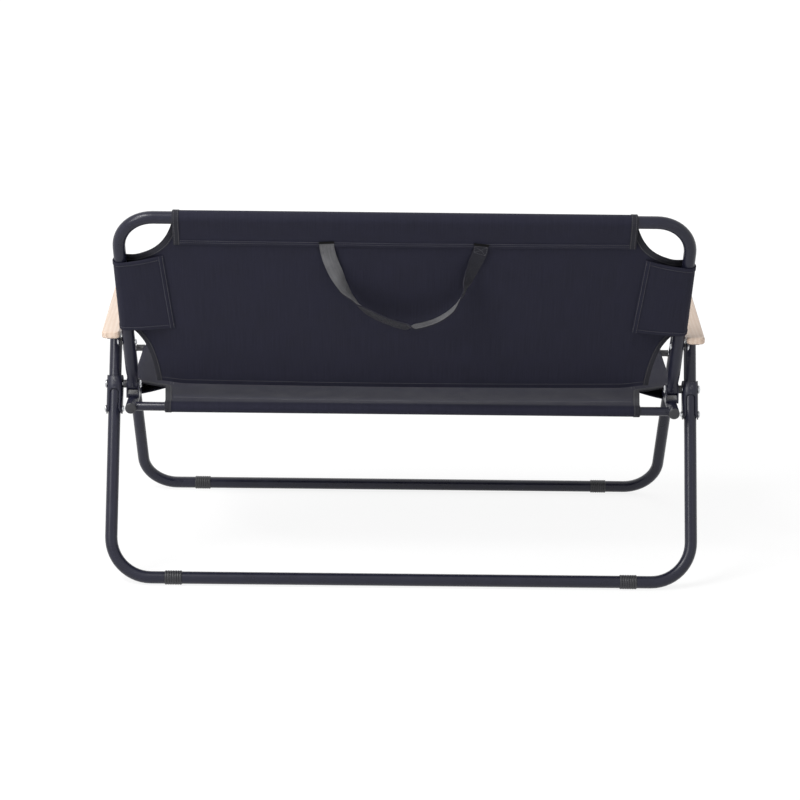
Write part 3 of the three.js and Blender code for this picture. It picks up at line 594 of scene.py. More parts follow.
def dome(radius, foot, crown):
    """Profile points of a quarter round that rises by the crown from a foot."""
    angles = [step / dome_steps * math.pi / 2 for step in range(dome_steps)]
    rises = [(radius * math.cos(angle), foot + crown * math.sin(angle)) for angle in angles]
    return rises + [(0, foot + crown)]


caps = {
    "rear_post_cap": ("rear_legs", (rear_half, 0, post_length + cap_lift), 0, "X"),
    "front_leg_cap": ("front_legs", (front_end[0], 0, front_top + cap_lift), math.atan(splay), "Y"),
    "seat_rear_cap": ("seat_frame", (seat_half, tube_rear + cap_lift, tube_drop), -math.pi / 2, "X"),
    "seat_front_cap": ("seat_frame", (seat_half, tube_front - cap_lift, tube_drop), math.pi / 2, "X"),
}
for name, (body, place, swing, axis) in caps.items():
    radius = seat_tube_radius if body == "seat_frame" else leg_radius
    profile = [(0, 0), (radius - cap_edge, 0), (radius, cap_edge), (radius, cap_rim - cap_edge)]
    cap = turned(f"{name}_plug_left", profile + dome(radius - cap_edge, cap_rim, cap_crown))
    cap.data.transform(Matrix.Translation(place) @ Matrix.Rotation(swing, 4, axis))
    settle_pair(cap, body, plastic, name)


# Foot sleeves: soft black tubes with seven rounded rings, pushed onto the floor bars.
# They are a little fatter than the bar, so the chair stands on them.
foot_radius = 0.0126
foot_length = 0.030
foot_ribs = 7
foot_groove = 0.0009
foot_bore = 0.0113
foot_steps = 6
rib_fullness = 1.25
foot_profile = [(foot_bore, -foot_length / 2)]
for rib in range(foot_ribs):
    for step in range(foot_steps + (rib == foot_ribs - 1)):
        part = step / foot_steps
        bulge = min(1.0, rib_fullness * math.sin(math.pi * part) ** 0.5) if 0 < part < 1 else 0.0
        height = foot_length / foot_ribs * (rib + part) - foot_length / 2
        foot_profile.append((foot_radius - foot_groove * (1 - bulge), height))
foot_profile += [(foot_bore, foot_length / 2), foot_profile[0]]

rear_foot_x = 0.403
front_foot_x = 0.394
for name, body, across, drop in (
    ("rear_foot_sleeve", "rear_legs", rear_foot_x, -rear_leg_length),
    ("front_foot_sleeve", "front_legs", front_foot_x, -front_leg_length),
):
    foot = turned(f"{name}_ribbed_left", foot_profile, closed=True)
    foot.data.transform(lying_at(across, 0, drop))
    settle_pair(foot, body, plastic, name, smooth=60)


# Pressed steel: knuckles round the rear legs, clevises on the seat tubes and the armrest brackets.
# Each is punched from strip and folded, so its edges are rounded over by the press.
plate_edge = 0.0006
edge_angle = math.radians(28)
flat_angle = math.radians(2)
for word in ("left", "right"):
    for node, name, body in (
        ("knuckle_bracket", "knuckle_plate", "rear_legs"),
        ("back_clevis", "clevis_plate", "seat_frame"),
        ("armrest_rear_bracket", "armrest_rear_plate", f"{word}_armrest"),
        ("armrest_front_bracket", "armrest_front_plate", f"{word}_armrest"),
    ):
        plate = link(f"{name}_{word}", frame["nodes"][f"{node}_{word}"].data.copy())
        edit(plate, action="SELECT")
        bpy.ops.mesh.remove_doubles(threshold=2e-6)
        bpy.ops.mesh.dissolve_limited(angle_limit=flat_angle)
        leave_edit()
        applied(plate, "BEVEL", width=plate_edge, segments=2, limit_method="ANGLE", angle_limit=edge_angle)
        settle(plate, body, paint, f"{node}_{word}", smooth=40, in_place=True)


# Bolts: bright zinc, with a domed head and hexagon socket outside and a domed lock nut inside.
# Each is one solid from head to nut, and turns in the bores of the plates it holds.
zinc = coated(
    "bright_zinc",
    "zinc_bolt",
    tones=((0.42, 0.43, 0.45, 1), (0.62, 0.63, 0.65, 1), (0.8, 0.8, 0.8, 1)),
    haze=(260.0, 0.2, 0.36),
    rub=(0.52, 0.62, 400.0),
    skin=(60.0, 4.0),
    relief=(0.12, 0.0002),
    stretch=(1.0, 30.0, 30.0),
    more={"Metallic": 1.0},
)


def bolt(name, inner, outer, shank, head, height, place):
    """One bolt along X: a turned shank, a domed head with a hexagon socket, and a lock nut inside."""
    flange = height * 0.28
    profile = [(0, inner), (shank, inner), (shank, outer), (head, outer)]
    piece = turned(name, profile + dome(head, outer + flange, height - flange), steps=36)
    prism = bpy.ops.mesh.primitive_cylinder_add
    socket = begin(prism, vertices=6, radius=head * 0.42, depth=height)
    socket.location.z = outer + height * 0.95
    combined(piece, socket, "DIFFERENCE")
    nut = begin(prism, vertices=6, radius=head * 0.94, depth=height * 0.62)
    nut.data.transform(Matrix.Translation((0, 0, inner - height * 0.31)))
    edit(nut, "EDGE", "SELECT")
    bevel(height * 0.08, 2)
    ring = [(0, 0.5), (head * 0.72, 0.5), (head * 0.72, 0.8), (head * 0.58, 0.96)]
    ring += [(shank * 0.8, 0.98), (shank * 0.7, 1.0), (0, 1.0)]
    collar = turned("collar", [(radius, inner - height * depth) for radius, depth in ring], steps=30)
    combined(piece, nut)
    combined(piece, collar)
    piece.data.transform(lying_at(0, *place))
    return piece


mm = 0.001
gap = 0.3 * mm
bracket_outer = 14.4 * mm
clevis_outer = 11.3 * mm
washer = 3.9 * mm
arm_plate = 2 * mm
arm_pivot_height = 94.5 * mm
knuckle_bolt_height = -45 * mm
arm_screw_x = back_half_at(arm_pivot_height)
main_pivot = (0, 0)
front_pivot = (-309 * mm, tube_drop)
arm_pivot = (0, arm_pivot_height)
arm_eye = arm_lean.inverted() @ (leans["front_legs"] @ Vector((0, 0, arm_pivot_height)))
arm_front_half = front_half_at(arm_pivot_height)
channel_outer = 13.7 * mm
bolts = {
    "main_pivot_bolt": (
        "seat_frame",
        (seat_half - clevis_outer - gap, rear_half + bracket_outer + gap),
        (4 * mm, 7.5 * mm, 3.6 * mm),
        main_pivot,
    ),
    "front_pivot_bolt": (
        "seat_frame",
        (seat_half - seat_tube_radius - gap, pivot_half + leg_radius + 2 * gap),
        (4 * mm, 6.5 * mm, 3.5 * mm),
        front_pivot,
    ),
    "knuckle_bolt": (
        "rear_legs",
        (rear_half - bracket_outer - gap, rear_half + bracket_outer + gap),
        (3 * mm, 6.3 * mm, 3 * mm),
        (0, knuckle_bolt_height),
    ),
    "arm_pivot_bolt": (
        "back",
        (arm_screw_x - back_radius - gap, arm_screw_x + back_radius + washer + arm_plate + 3 * gap),
        (3 * mm, 5.5 * mm, 3 * mm),
        arm_pivot,
    ),
    "armrest_front_bolt": (
        "armrest",
        (arm_front_half - channel_outer - gap, arm_front_half + channel_outer + gap),
        (3.5 * mm, 6.5 * mm, 2.5 * mm),
        (arm_eye.y, arm_eye.z),
    ),
}
for node, (body, span, sizes, place) in bolts.items():
    settle_pair(bolt(f"{node}_zinc_left", *span, *sizes, place), body, zinc, node, smooth=30)


# Spacers: black plastic rings between the moving plates, with softened rims and a shallow waist.
spacers = {
    "main_pivot_spacer": (
        "seat_frame",
        (seat_half + clevis_outer + gap, rear_half - bracket_outer - gap),
        (7.3 * mm, 4.5 * mm),
        main_pivot,
    ),
    "front_pivot_spacer": (
        "seat_frame",
        (seat_half + seat_tube_radius + gap, pivot_half - leg_radius - 2 * gap),
        (6.7 * mm, 4.5 * mm),
        front_pivot,
    ),
    "arm_pivot_washer": (
        "back",
        (arm_screw_x + back_radius + gap, arm_screw_x + back_radius + washer + gap),
        (7 * mm, 3.5 * mm),
        arm_pivot,
    ),
}
for node, (body, (inner, outer), (radius, bore), place) in spacers.items():
    rim = min(0.8 * mm, (outer - inner) / 6)
    waist = 0.5 * mm if outer - inner > 10 * mm else 0.0
    slope = 3 * rim - rim * (waist == 0)
    half = [(bore, 0), (radius - rim, 0), (radius, rim), (radius, 2 * rim), (radius - waist, slope)]
    profile = [(reach, inner + depth) for reach, depth in half]
    profile += [(reach, outer - depth) for reach, depth in reversed(half)]
    ring = turned(f"{node}_ring_left", profile + profile[:1], closed=True)
    ring.data.transform(lying_at(0, *place))
    settle_pair(ring, body, plastic, node)


# Sling cloth: dark navy-black polyester, woven plain and coated behind. It is sewn from doubled
# cloth, so hems and bands are loops that slip over the tubes before the frame is bolted up.
weave, given = start_group("plain_weave", {"Warp Pitch": 0.0007, "Weft Pitch": 0.0008})
spot = make(weave, "ShaderNodeSeparateXYZ", {"Vector": given["Place"]}).outputs
ridges = []
cells = []
for axis, pitch in (("X", "Warp Pitch"), ("Y", "Weft Pitch")):
    count = reckon(weave, "DIVIDE", spot[axis], given[pitch])
    wave = reckon(weave, "SINE", reckon(weave, "MULTIPLY", count, math.pi))
    ridges.append(reckon(weave, "ABSOLUTE", wave))
    cells.append(reckon(weave, "FLOOR", count))
parity = reckon(weave, "FLOORED_MODULO", reckon(weave, "ADD", *cells), 2.0)
height = make(weave, "ShaderNodeMix", {0: parity, 2: ridges[0], 3: ridges[1]}, data_type="FLOAT").outputs[0]
strands = stretched(weave, given["Place"], (900.0, 14.0, 1.0))
end_group(weave, {"Height": height, "Streak": clouds(weave, strands, 1.0, 2.0)["Fac"]})
sheen_roughness = 0.45
thread_depth = 0.0003
cloth_shine = 0.22
roughness_spread = 0.06


def woven(name, slot, dark, light, pitch, roughness, sheen, bump=0.35, contrast=1.0, shaded_face_tone=None):
    """A shade colour, if given, is painted shade: faces of a strap that are not marked as its lit face show
    it in place of the weave.
    A plain colour is for webbing with one satin side, and is what its other side shows."""
    material = bpy.data.materials.new(name)
    tree = cleared(material)
    flat = make(tree, "ShaderNodeUVMap", uv_map="flat").outputs["UV"]
    thread = effect(tree, weave, flat, *pitch)
    haze = effect(tree, mottle, flat, 22.0, roughness - roughness_spread, roughness + roughness_spread)
    tall = reckon(tree, "MULTIPLY", thread["Height"], thread["Streak"])
    cloudy = reckon(tree, "ADD", reckon(tree, "MULTIPLY", tall, 1.5 * contrast), haze["Cloud"])
    tone = mixed(tree, reckon(tree, "SUBTRACT", cloudy, 0.4, use_clamp=True), (*dark, 1), (*light, 1))
    # Painted shade: where a strap face is not marked as lit, the weave gives way to one near-black shade
    # colour.
    if shaded_face_tone:
        side = make(tree, "ShaderNodeAttribute", attribute_name="lit_face_mark").outputs["Fac"]
        tone = mixed(tree, side, (*shaded_face_tone, 1), tone)
    more = {"Sheen Weight": sheen, "Sheen Roughness": sheen_roughness, "Specular IOR Level": cloth_shine}
    surfaced(tree, tone, haze["Value"], bumped(tree, thread["Height"], bump, thread_depth), more)
    return material, slot


cloth_tones = (0.0085, 0.0085, 0.0185), (0.02, 0.02, 0.037)
tape_tones = (0.01, 0.01, 0.0145), (0.03, 0.03, 0.039)
thread_tones = (0.06, 0.06, 0.068), (0.15, 0.15, 0.165)
sling_cloth = woven("navy_black_cloth", "sling_cloth", *cloth_tones, (0.0007, 0.0008), 0.8, 0.025)
sling_tape = woven("black_binding_tape", "webbing", *tape_tones, (0.0011, 0.0009), 0.75, 0.04, 0.5)
sewing_thread = woven("grey_sewing_thread", "webbing", *thread_tones, (0.0003, 0.0009), 0.7, 0.1, 0.2)


def mesh_piece(name, points, faces, flats):
    """A new mesh with its flat cut kept as a UV map in metres, so that weave runs true on the cloth."""
    mesh = bpy.data.meshes.new(name)
    mesh.from_pydata(points, [], faces)
    cut_map = mesh.uv_layers.new(name="flat")
    for loop in mesh.loops:
        cut_map.data[loop.index].uv = flats[loop.vertex_index]
    mesh.update()
    return link(name, mesh)


def finish_cloth(piece, thickness):
    """Welds a sheet's strips together and gives it its thickness, half to each side."""
    edit(piece, action="SELECT")
    bpy.ops.mesh.remove_doubles(threshold=2e-6)
    leave_edit()
    applied(piece, "SOLIDIFY", thickness=thickness, offset=0, use_even_offset=False)


def smooth_step(value, start, end):
    share = max(0.0, min(1.0, (value - start) / (end - start)))
    return share * share * (3 - 2 * share)


class Loop:
    """Cloth that leaves a seam, passes round a tube and comes back to the seam, seen end on.

    Across is the way from the seam to the tube, and depth is square to the sheet.
    """

    def __init__(self, seam_across, seam_depth, tube_across, radius, lift):
        self.radius = radius
        self.centre = tube_across
        self.seam = (seam_across, seam_depth)
        self.back_seam = (seam_across, seam_depth + lift)
        self.front_turn, self.front_run = self.tangent(self.seam, -1)
        self.back_turn, self.back_run = self.tangent(self.back_seam, 1)
        self.start = self.front_turn - math.pi / 2
        self.end = self.back_turn + math.pi / 2
        self.arc = radius * (self.end - self.start)
        self.front_across = seam_across + self.front_run * math.cos(self.front_turn)
        self.length = self.arc + self.back_run

    def tangent(self, seam, sign):
        reach = (self.centre - seam[0], -seam[1])
        far = math.hypot(*reach)
        heading = math.atan2(reach[1], reach[0]) + sign * math.asin(self.radius / far)
        return heading, math.sqrt(far**2 - self.radius**2)

    def front(self, across):
        """Depth of the straight front layer at a distance across."""
        return self.seam[1] + (across - self.seam[0]) * math.tan(self.front_turn)

    def beyond(self, run):
        """(across, depth) at a distance along the cloth past the front layer."""
        if run <= self.arc:
            angle = self.start + run / self.radius
            return self.centre + self.radius * math.cos(angle), self.radius * math.sin(angle)
        left = self.length - run
        return (
            self.back_seam[0] + left * math.cos(self.back_turn),
            self.back_seam[1] + left * math.sin(self.back_turn),
        )


cloth_thickness = 0.0014
tape_thickness = 0.0007
wrap_radius = back_radius + 0.0013


def ruffle(across, along, size=1.0):
    """Slow, shallow unevenness of stretched cloth."""
    broad = noise.noise(Vector((across * 5.1, along * 6.3, 0.4)))
    fine = noise.noise(Vector((across * 19.0, along * 11.0, 3.7)))
    return size * (0.0011 * broad + 0.00035 * fine)


def pucker(along_seam, from_seam, size=0.00045, fade=0.013):
    """Small gathers beside a line of stitches, dying away from it."""
    wave = noise.noise(Vector((along_seam * 75.0, 0.3, 1.9)))
    return size * wave * math.exp(-abs(from_seam) / fade)


# Back sling: a top hem over the tube, a doubled band round each side tube, rounded corner
# openings above the bands and rounded cut-outs below them, where the armrests are bolted on.
panel_half = 0.4775
panel_low = 0.008
panel_setback = 0.005
panel_sag = 0.012
sag_start = -0.0615
hem_seam = 0.3095
hem_half = 0.395
band_low, band_high = 0.118, 0.2735
band_outer_low, band_outer_high = 0.1275, 0.2705
band_inner_low, band_inner_high = 0.135, 0.2865
low_cut = [
    (0.4375, 0.008),
    (0.4380, 0.020),
    (0.4395, 0.036),
    (0.4420, 0.053),
    (0.4470, 0.0735),
    (0.4545, 0.091),
    (0.4625, 0.102),
    (0.4710, 0.111),
]
high_cut = [
    (0.4655, 0.277),
    (0.4490, 0.2855),
    (0.4330, 0.2965),
    (0.4210, 0.307),
    (0.4097, 0.3195),
    (0.4033, 0.330),
    (0.3985, 0.341),
    (0.3957, 0.351),
]


def evenly(count):
    """Shares from 0 to 1 in even steps."""
    return [i / count for i in range(count + 1)]


def run_lengths(stops):
    """How far along a line each of its points lies."""
    lengths = [0.0]
    for start, end in zip(stops, stops[1:]):
        lengths.append(lengths[-1] + (end - start).length)
    return lengths


def stretches(lengths, wants):
    """For rising distances along a line: the stretch each falls in, and its share of that stretch."""
    j = 0
    for want in wants:
        while j < len(lengths) - 2 and lengths[j + 1] < want:
            j += 1
        yield j, (want - lengths[j]) / (lengths[j + 1] - lengths[j])


def smooth_route(corners, count):
    """Evenly spaced points on a smooth curve through the corners, and its length."""
    stops = [Vector(corner) for corner in corners]
    stops = [2 * stops[0] - stops[1]] + stops + [2 * stops[-1] - stops[-2]]
    fine = []
    for before, start, end, after in zip(stops, stops[1:], stops[2:], stops[3:]):
        for t in evenly(24)[:-1]:
            straight = 2 * start + (end - before) * t
            curved = (2 * before - 5 * start + 4 * end - after) * t**2
            fine.append(0.5 * (straight + curved + (3 * start - before - 3 * end + after) * t**3))
    fine.append(stops[-2])
    lengths = run_lengths(fine)
    wants = [lengths[-1] * i / count for i in range(count + 1)]
    return [fine[j].lerp(fine[j + 1], share) for j, share in stretches(lengths, wants)], lengths[-1]


def panel_depth(across, up):
    bow = 1 - (across / panel_half) ** 2
    rise = math.sin(math.pi * (up - sag_start) / (back_length - sag_start))
    depth = panel_setback + panel_sag * max(bow, 0) * rise
    seam_reach = band_seam(up) - abs(across)
    if up > hem_seam - 0.1:
        depth += pucker(across, up - hem_seam)
    if band_low < up < band_high:
        depth += pucker(up, seam_reach, 0.0004)
    return depth + ruffle(across, up) * smooth_step(up, panel_low, 0.08)


seam_low, seam_rise, seam_shift, seam_span = 0.4015, 0.135, 0.0135, 0.143


def band_seam(up):
    return seam_low + seam_shift * (up - seam_rise) / seam_span


def band_loop(up):
    seam = band_seam(up)
    return Loop(seam, panel_depth(seam, up), back_half_at(up), wrap_radius, cloth_thickness)


def hem_loop(across):
    return Loop(hem_seam, panel_depth(across, hem_seam), back_length, wrap_radius, cloth_thickness)


corner_lift = 0.006
band_ease = 0.04


def back_cloth(across, up):
    """Where a point of the back's flat cut lies. Past the front layer it goes over the top tube."""
    reach = abs(across)
    hem = hem_loop(math.copysign(min(reach, hem_half), across))
    if up > hem.front_across:
        place, depth = hem.beyond(up - hem.front_across)
        return Vector((across, depth, place))
    depth = panel_depth(across, up)
    if up > hem_seam:
        loose = 1 - smooth_step(up, hem_seam, hem.front_across)
        depth = hem.front(up) + (depth - hem.seam[1]) * loose * 0.3
    if reach > band_seam(up) and up < band_high + band_ease:
        loop = band_loop(up)
        held = smooth_step(up, 0.055, band_low) * (1 - smooth_step(up, band_high, band_high + band_ease))
        depth += (loop.front(min(reach, loop.front_across)) - depth) * held
    corner = corner_lift * smooth_step(reach, 0.385, 0.437) * (1 - smooth_step(up, panel_low, 0.04))
    return Vector((across, depth, up + corner))


def back_band(across, up):
    """Past the front layer, round a side tube. The band's ends are cut on a slant and lie level sewn."""
    loop = band_loop(up)
    run = max(0.0, abs(across) - loop.front_across)
    share = run / loop.length
    outer = loop.arc / 2 / loop.length
    if share < outer:
        eased = smooth_step(share, 0, outer)
        low = band_low + (band_outer_low - band_low) * eased
        high = band_high + (band_outer_high - band_high) * eased
    else:
        returned = max(0.0, (share - outer) / (1 - outer))
        low = band_outer_low + (band_inner_low - band_outer_low) * returned**1.3
        high = band_outer_high + (band_inner_high - band_outer_high) * returned**1.6
    slid = low + (up - band_low) / (band_high - band_low) * (high - low)
    bulge = 0.0012 * math.sin(math.pi * max(0.0, run - loop.arc) / loop.back_run)
    slid_loop = band_loop(slid)
    place, depth = slid_loop.beyond(min(run, slid_loop.length))
    depth += bulge + 0.6 * pucker(slid, loop.length - run)
    return Vector((math.copysign(place, across), depth, slid))


def grid_faces(rows, columns, first=0):
    """The quads of a grid of points that were added row by row."""
    faces = []
    for i in range(rows):
        for j in range(columns):
            corner = first + i * (columns + 1) + j
            faces.append((corner, corner + 1, corner + columns + 2, corner + columns + 1))
    return faces


def sewn_sheet(name, parts):
    """A sheet of several grids. Each part is its cloth and its rows of (across, along) places."""
    points, flats, faces = [], [], []
    for cloth, rows in parts:
        faces += grid_faces(len(rows) - 1, len(rows[0]) - 1, len(points))
        for row in rows:
            points += [cloth(*spot) for spot in row]
            flats += row
    sheet = mesh_piece(name, points, faces, flats)
    finish_cloth(sheet, cloth_thickness)
    return sheet


def across_rows(places, columns):
    """Rows from side to side, one at each (half width, along) place."""
    return [[(reach * (2 * j / columns - 1), along) for j in range(columns + 1)] for reach, along in places]


def wrap_rows(places, steps):
    """Rows round both side tubes, from each (front edge, run, along) place. Outwards is rising."""
    out = [[(start + run * i / steps, along) for i in range(steps + 1)] for start, run, along in places]
    return [[(-reach, along) for reach, along in reversed(row)] for row in out], out


back_columns = 200
hem_steps = 26
band_steps = 30
band_rows = [band_low + (band_high - band_low) * share for share in evenly(22)]
band_loops = [band_loop(up) for up in band_rows]
low_ends = low_cut + [(band_loops[0].front_across, band_low)]
high_ends = [(band_loops[-1].front_across, band_high)] + high_cut
high_ends.append((hem_half, hem_loop(hem_half).front_across))
cutout, opening = [
    [(spot.x, spot.y) for spot in smooth_route([(*spot, 0) for spot in ends], count)[0]]
    for ends, count in ((low_ends, 26), (high_ends, 30))
]
band_edge = [(loop.front_across, up) for loop, up in zip(band_loops, band_rows)]
panel_rows = across_rows(cutout + band_edge[1:-1] + opening[:-1], back_columns)
hem_columns = [(across, hem_loop(across)) for across, _ in across_rows([(hem_half, 0)], back_columns)[0]]
for share in evenly(hem_steps):
    panel_rows.append([(across, hem.front_across + hem.length * share) for across, hem in hem_columns])
band_places = [(loop.front_across, loop.length, up) for loop, up in zip(band_loops, band_rows)]
right_band, left_band = wrap_rows(band_places, band_steps)
back_sling = sewn_sheet(
    "back_sling_cloth", [(back_cloth, panel_rows), (back_band, right_band), (back_band, left_band)]
)
settle(back_sling, "back", sling_cloth, "back_sling", smooth=60)


# Seat sling: long hems over the two rails, a sleeve over each side tube, and open corners where the
# back's clevises and the bolts sit. It sags a little between the tubes.
seat_sag = 0.018
rail_wrap = rail_radius + 0.0013
side_wrap = seat_tube_radius + 0.0013
seat_rear_half = 0.4215
seat_front_half = 0.452
sleeve_rear = -0.065
sleeve_front = -0.295
rear_corner_run = 0.013
front_corner_run = 0.012
corner_slant = 0.0075
rear_slant = sleeve_rear + rear_corner_run
front_slant = sleeve_front - front_corner_run
crown_ease = 0.045
seat_hem_seam = 0.030
seat_back_seam = 0.4215
layer_gap = 0.0016


def seat_depth(across, along):
    """How far the seat's skin lies below the line over its rails."""
    bow = max(0.0, 1 - (across / seat_half) ** 2)
    swell = math.sin(math.pi * (along - rail_front) / (rail_rear - rail_front))
    return (seat_sag * bow + ruffle(across + 3, along, 1.3)) * swell


def wrapped(past, radius, run, depth, most=math.inf):
    """(outwards, up) of cloth past a tube's crown: half round it, then back below it to a seam."""
    swing = past / radius
    if swing <= math.pi:
        return radius * math.sin(swing), tube_drop + radius * math.cos(swing)
    back = past - math.pi * radius
    under = tube_drop - radius
    meet = tube_drop + rail_wrap - depth - layer_gap
    return -back, under + (meet - under) * min(most, back / run) ** 1.3


def seat_cloth(across, along):
    """A point of the seat's flat cut. Past a rail it turns under it, and past a side tube round that."""
    reach = abs(across)
    for rail, outward in ((rail_rear, 1), (rail_front, -1)):
        past = (along - rail) * outward
        if past > 0:
            depth = seat_depth(across, rail - outward * seat_hem_seam)
            out, up = wrapped(past, rail_wrap, seat_hem_seam, depth)
            return Vector((across, rail + outward * out, up))
    if reach <= seat_half:
        rise = smooth_step(reach, seat_half - crown_ease, seat_half) * (side_wrap - rail_wrap)
        return Vector((across, along, tube_drop + rail_wrap + rise - seat_depth(across, along)))
    depth = seat_depth(seat_back_seam, along)
    out, up = wrapped(reach - seat_half, side_wrap, seat_half - seat_back_seam, depth, most=1.0)
    return Vector((math.copysign(seat_half + out, across), along, up))


def seat_edge(along):
    """Half the seat's cut at a place: the hems, the slanted corners, and the side tubes' crowns."""
    hem_start = rail_rear - rail_wrap
    if along >= hem_start:
        return seat_rear_half
    if along > rear_slant:
        return seat_rear_half + corner_slant * (hem_start - along) / (hem_start - rear_slant)
    if along > sleeve_rear:
        share = (rear_slant - along) / rear_corner_run
        corner = seat_rear_half + corner_slant
        return corner + (seat_half - corner) * math.sin(share * math.pi / 2) ** 1.6
    if along >= sleeve_front:
        return seat_half
    share = min(1.0, (sleeve_front - along) / front_corner_run)
    return seat_half + (seat_front_half - seat_half) * share**0.7


seat_columns = 180
sleeve_steps = 22
under_run = math.pi * rail_wrap + seat_hem_seam
hem_runs = [under_run * share for share in evenly(16)[1:]]
sleeve_ways = [sleeve_front + (sleeve_rear - sleeve_front) * share for share in evenly(30)]
seat_ways = [rail_front - run for run in reversed(hem_runs)]
seat_ways += [rail_front + (front_slant - rail_front) * share for share in evenly(3)[:-1]]
seat_ways += [sleeve_front - front_corner_run * (1 - share) for share in evenly(5)[:-1]]
seat_ways += sleeve_ways
seat_ways += [sleeve_rear + rear_corner_run * share for share in evenly(8)[1:]]
last_run = rail_rear - sleeve_rear - rear_corner_run
seat_ways += [rear_slant + last_run * i / 14 for i in range(1, 15)]
seat_ways += [rail_rear + run for run in hem_runs]
seat_rows = across_rows([(seat_edge(along), along) for along in seat_ways], seat_columns)
sleeve_run = math.pi * side_wrap + seat_half - seat_back_seam
sleeve_places = [(seat_half, sleeve_run, along) for along in sleeve_ways]
right_sleeve, left_sleeve = wrap_rows(sleeve_places, sleeve_steps)
seat_sling = sewn_sheet(
    "seat_sling_cloth", [(seat_cloth, seat_rows), (seat_cloth, right_sleeve), (seat_cloth, left_sleeve)]
)
settle(seat_sling, "seat_frame", sling_cloth, "seat_sling", smooth=60)


# Trims of the back: black tape folded over every cut edge, folded hems and seam tapes, and grey
# stitches. Each is laid along a line of the flat cut, so that it follows the cloth where it wraps.
def cloth_frame(cloth, spot, inward, step=0.0005):
    """The place, the way inward over the cloth, and the cloth's normal, at a point of the flat cut."""
    here = cloth(*spot)
    across = cloth(spot[0] + inward[0] * step, spot[1] + inward[1] * step) - here
    beside = cloth(spot[0] - inward[1] * step, spot[1] + inward[0] * step) - here
    return here, across.normalized(), beside.cross(across).normalized()


def inset_by(spot, inward, inset):
    return spot[0] + inward[0] * inset, spot[1] + inward[1] * inset


def path_sides(path, side):
    """Each point of a flat path with the way to its inner side."""
    for i, spot in enumerate(path):
        before, after = path[max(i - 1, 0)], path[min(i + 1, len(path) - 1)]
        length = math.hypot(after[0] - before[0], after[1] - before[1])
        yield spot, (-side * (after[1] - before[1]) / length, side * (after[0] - before[0]) / length)


def rod_faces(rings, sides):
    """The faces of a rod that is drawn ring by ring, closed at both ends."""
    quads = []
    for i in range(rings - 1):
        for j in range(sides):
            a, b = i * sides + j, i * sides + (j + 1) % sides
            quads.append((a, b, b + sides, a + sides))
    return quads + [tuple(reversed(range(sides))), tuple(range((rings - 1) * sides, rings * sides))]


def laid_tape(cloth, path, side, profile, face=1):
    """Points, faces and flat cut of a tape on a path. Its profile is a ring of (inset, height)."""
    points, flats = [], []
    run = 0.0
    last = None
    for spot, inward in path_sides(path, side):
        rim = cloth_frame(cloth, spot, inward)[0]
        run += (rim - last).length if last else 0.0
        last = rim
        for inset, height in profile:
            here, over, normal = cloth_frame(cloth, inset_by(spot, inward, max(inset, 0)), inward)
            points.append(here + over * min(inset, 0) + normal * face * height)
            flats.append((inset + height, run))
    return points, rod_faces(len(path), len(profile)), flats


def bound(width, lift, wall, reach=0.0012):
    """A tape folded over an edge: out along one face, round the edge and back along the other."""
    outer = lift + wall
    ring = [(width, outer), (width * 0.5, outer), (reach * 0.3, outer), (-reach * 0.6, outer * 0.75)]
    ring += [(-reach, 0.0)] + [(inset, -height) for inset, height in reversed(ring)]
    ring += [(width, -lift), (reach * 0.5, -lift), (reach * 0.1, 0.0), (reach * 0.5, lift)]
    return ring + [(width, lift)]


def flat_tape(start, width, lift, wall, round_by=0.0004):
    """A tape laid flat on one face, with its two edges eased."""
    end = start + width
    top = lift + wall
    eased = top - round_by * 0.6
    ring = [(start, lift), (start, eased), (start + round_by, top), ((start + end) / 2, top + 0.0001)]
    return ring + [(end - round_by, top), (end, eased), (end, lift)]


def joined_trims(name, parts, body, finish):
    """One mesh of several tapes or many stitches, kept clean and facing outwards."""
    points, faces, flats = [], [], []
    for part_points, part_faces, part_flats in parts:
        faces += [tuple(len(points) + i for i in face) for face in part_faces]
        points += part_points
        flats += part_flats
    trim = mesh_piece(name, points, faces, flats)
    outside(trim, merge=0)
    return settle(trim, body, finish, smooth=50)


stitch_pitch = 0.0036
stitch_length = 0.0027
stitch_radius = 0.00036
stitch_sides = 6
stitch_rings = ((-0.5, 0.45, -0.9), (-0.22, 1.0, 0.0), (0.22, 1.0, 0.0), (0.5, 0.45, -0.9))


def stitch_row(cloth, path, side, inset, height, face=1):
    """Stitches at an even pitch, each a small six-sided grain that dips at both ends."""
    normals, spots = [], []
    for spot, inward in path_sides(path, side):
        here, _, normal = cloth_frame(cloth, inset_by(spot, inward, inset), inward)
        spots.append(here + normal * face * height)
        normals.append(normal * face)
    parts = []
    lengths = run_lengths(spots)
    count = int(lengths[-1] / stitch_pitch)
    wants = [(i + 0.5) * lengths[-1] / count for i in range(count)]
    for want, (j, share) in zip(wants, stretches(lengths, wants)):
        middle = spots[j].lerp(spots[j + 1], share)
        along = (spots[j + 1] - spots[j]).normalized()
        normal = normals[j].lerp(normals[j + 1], share).normalized()
        beside = along.cross(normal).normalized()
        points, flats = [], []
        for t, thick, dip in stitch_rings:
            centre = middle + along * t * stitch_length + normal * dip * stitch_radius * 0.6
            for k in range(stitch_sides):
                angle = k / stitch_sides * math.tau
                ring = beside * math.cos(angle) + normal * math.sin(angle)
                points.append(centre + ring * stitch_radius * thick)
                flats.append((angle * stitch_radius, want + t * stitch_length))
        parts.append((points, rod_faces(len(stitch_rings), stitch_sides), flats))
    return parts


def line(start, end, count):
    span = (end[0] - start[0], end[1] - start[1])
    return [(start[0] + span[0] * i / count, start[1] + span[1] * i / count) for i in range(count + 1)]


def on_side(path, side):
    """A path of the left half, or its mirror image for the right half."""
    return path if side > 0 else [(-across, along) for across, along in path]


def bind(cloth, path, side, width, rows):
    """Folds tape over a cut edge, with rows of stitches at given (inset, face)."""
    tapes.append(laid_tape(cloth, path, side, bound(width, tape_lift, tape_thickness)))
    for inset, face in rows:
        stitches.extend(stitch_row(cloth, path, side, inset, tape_top, face))


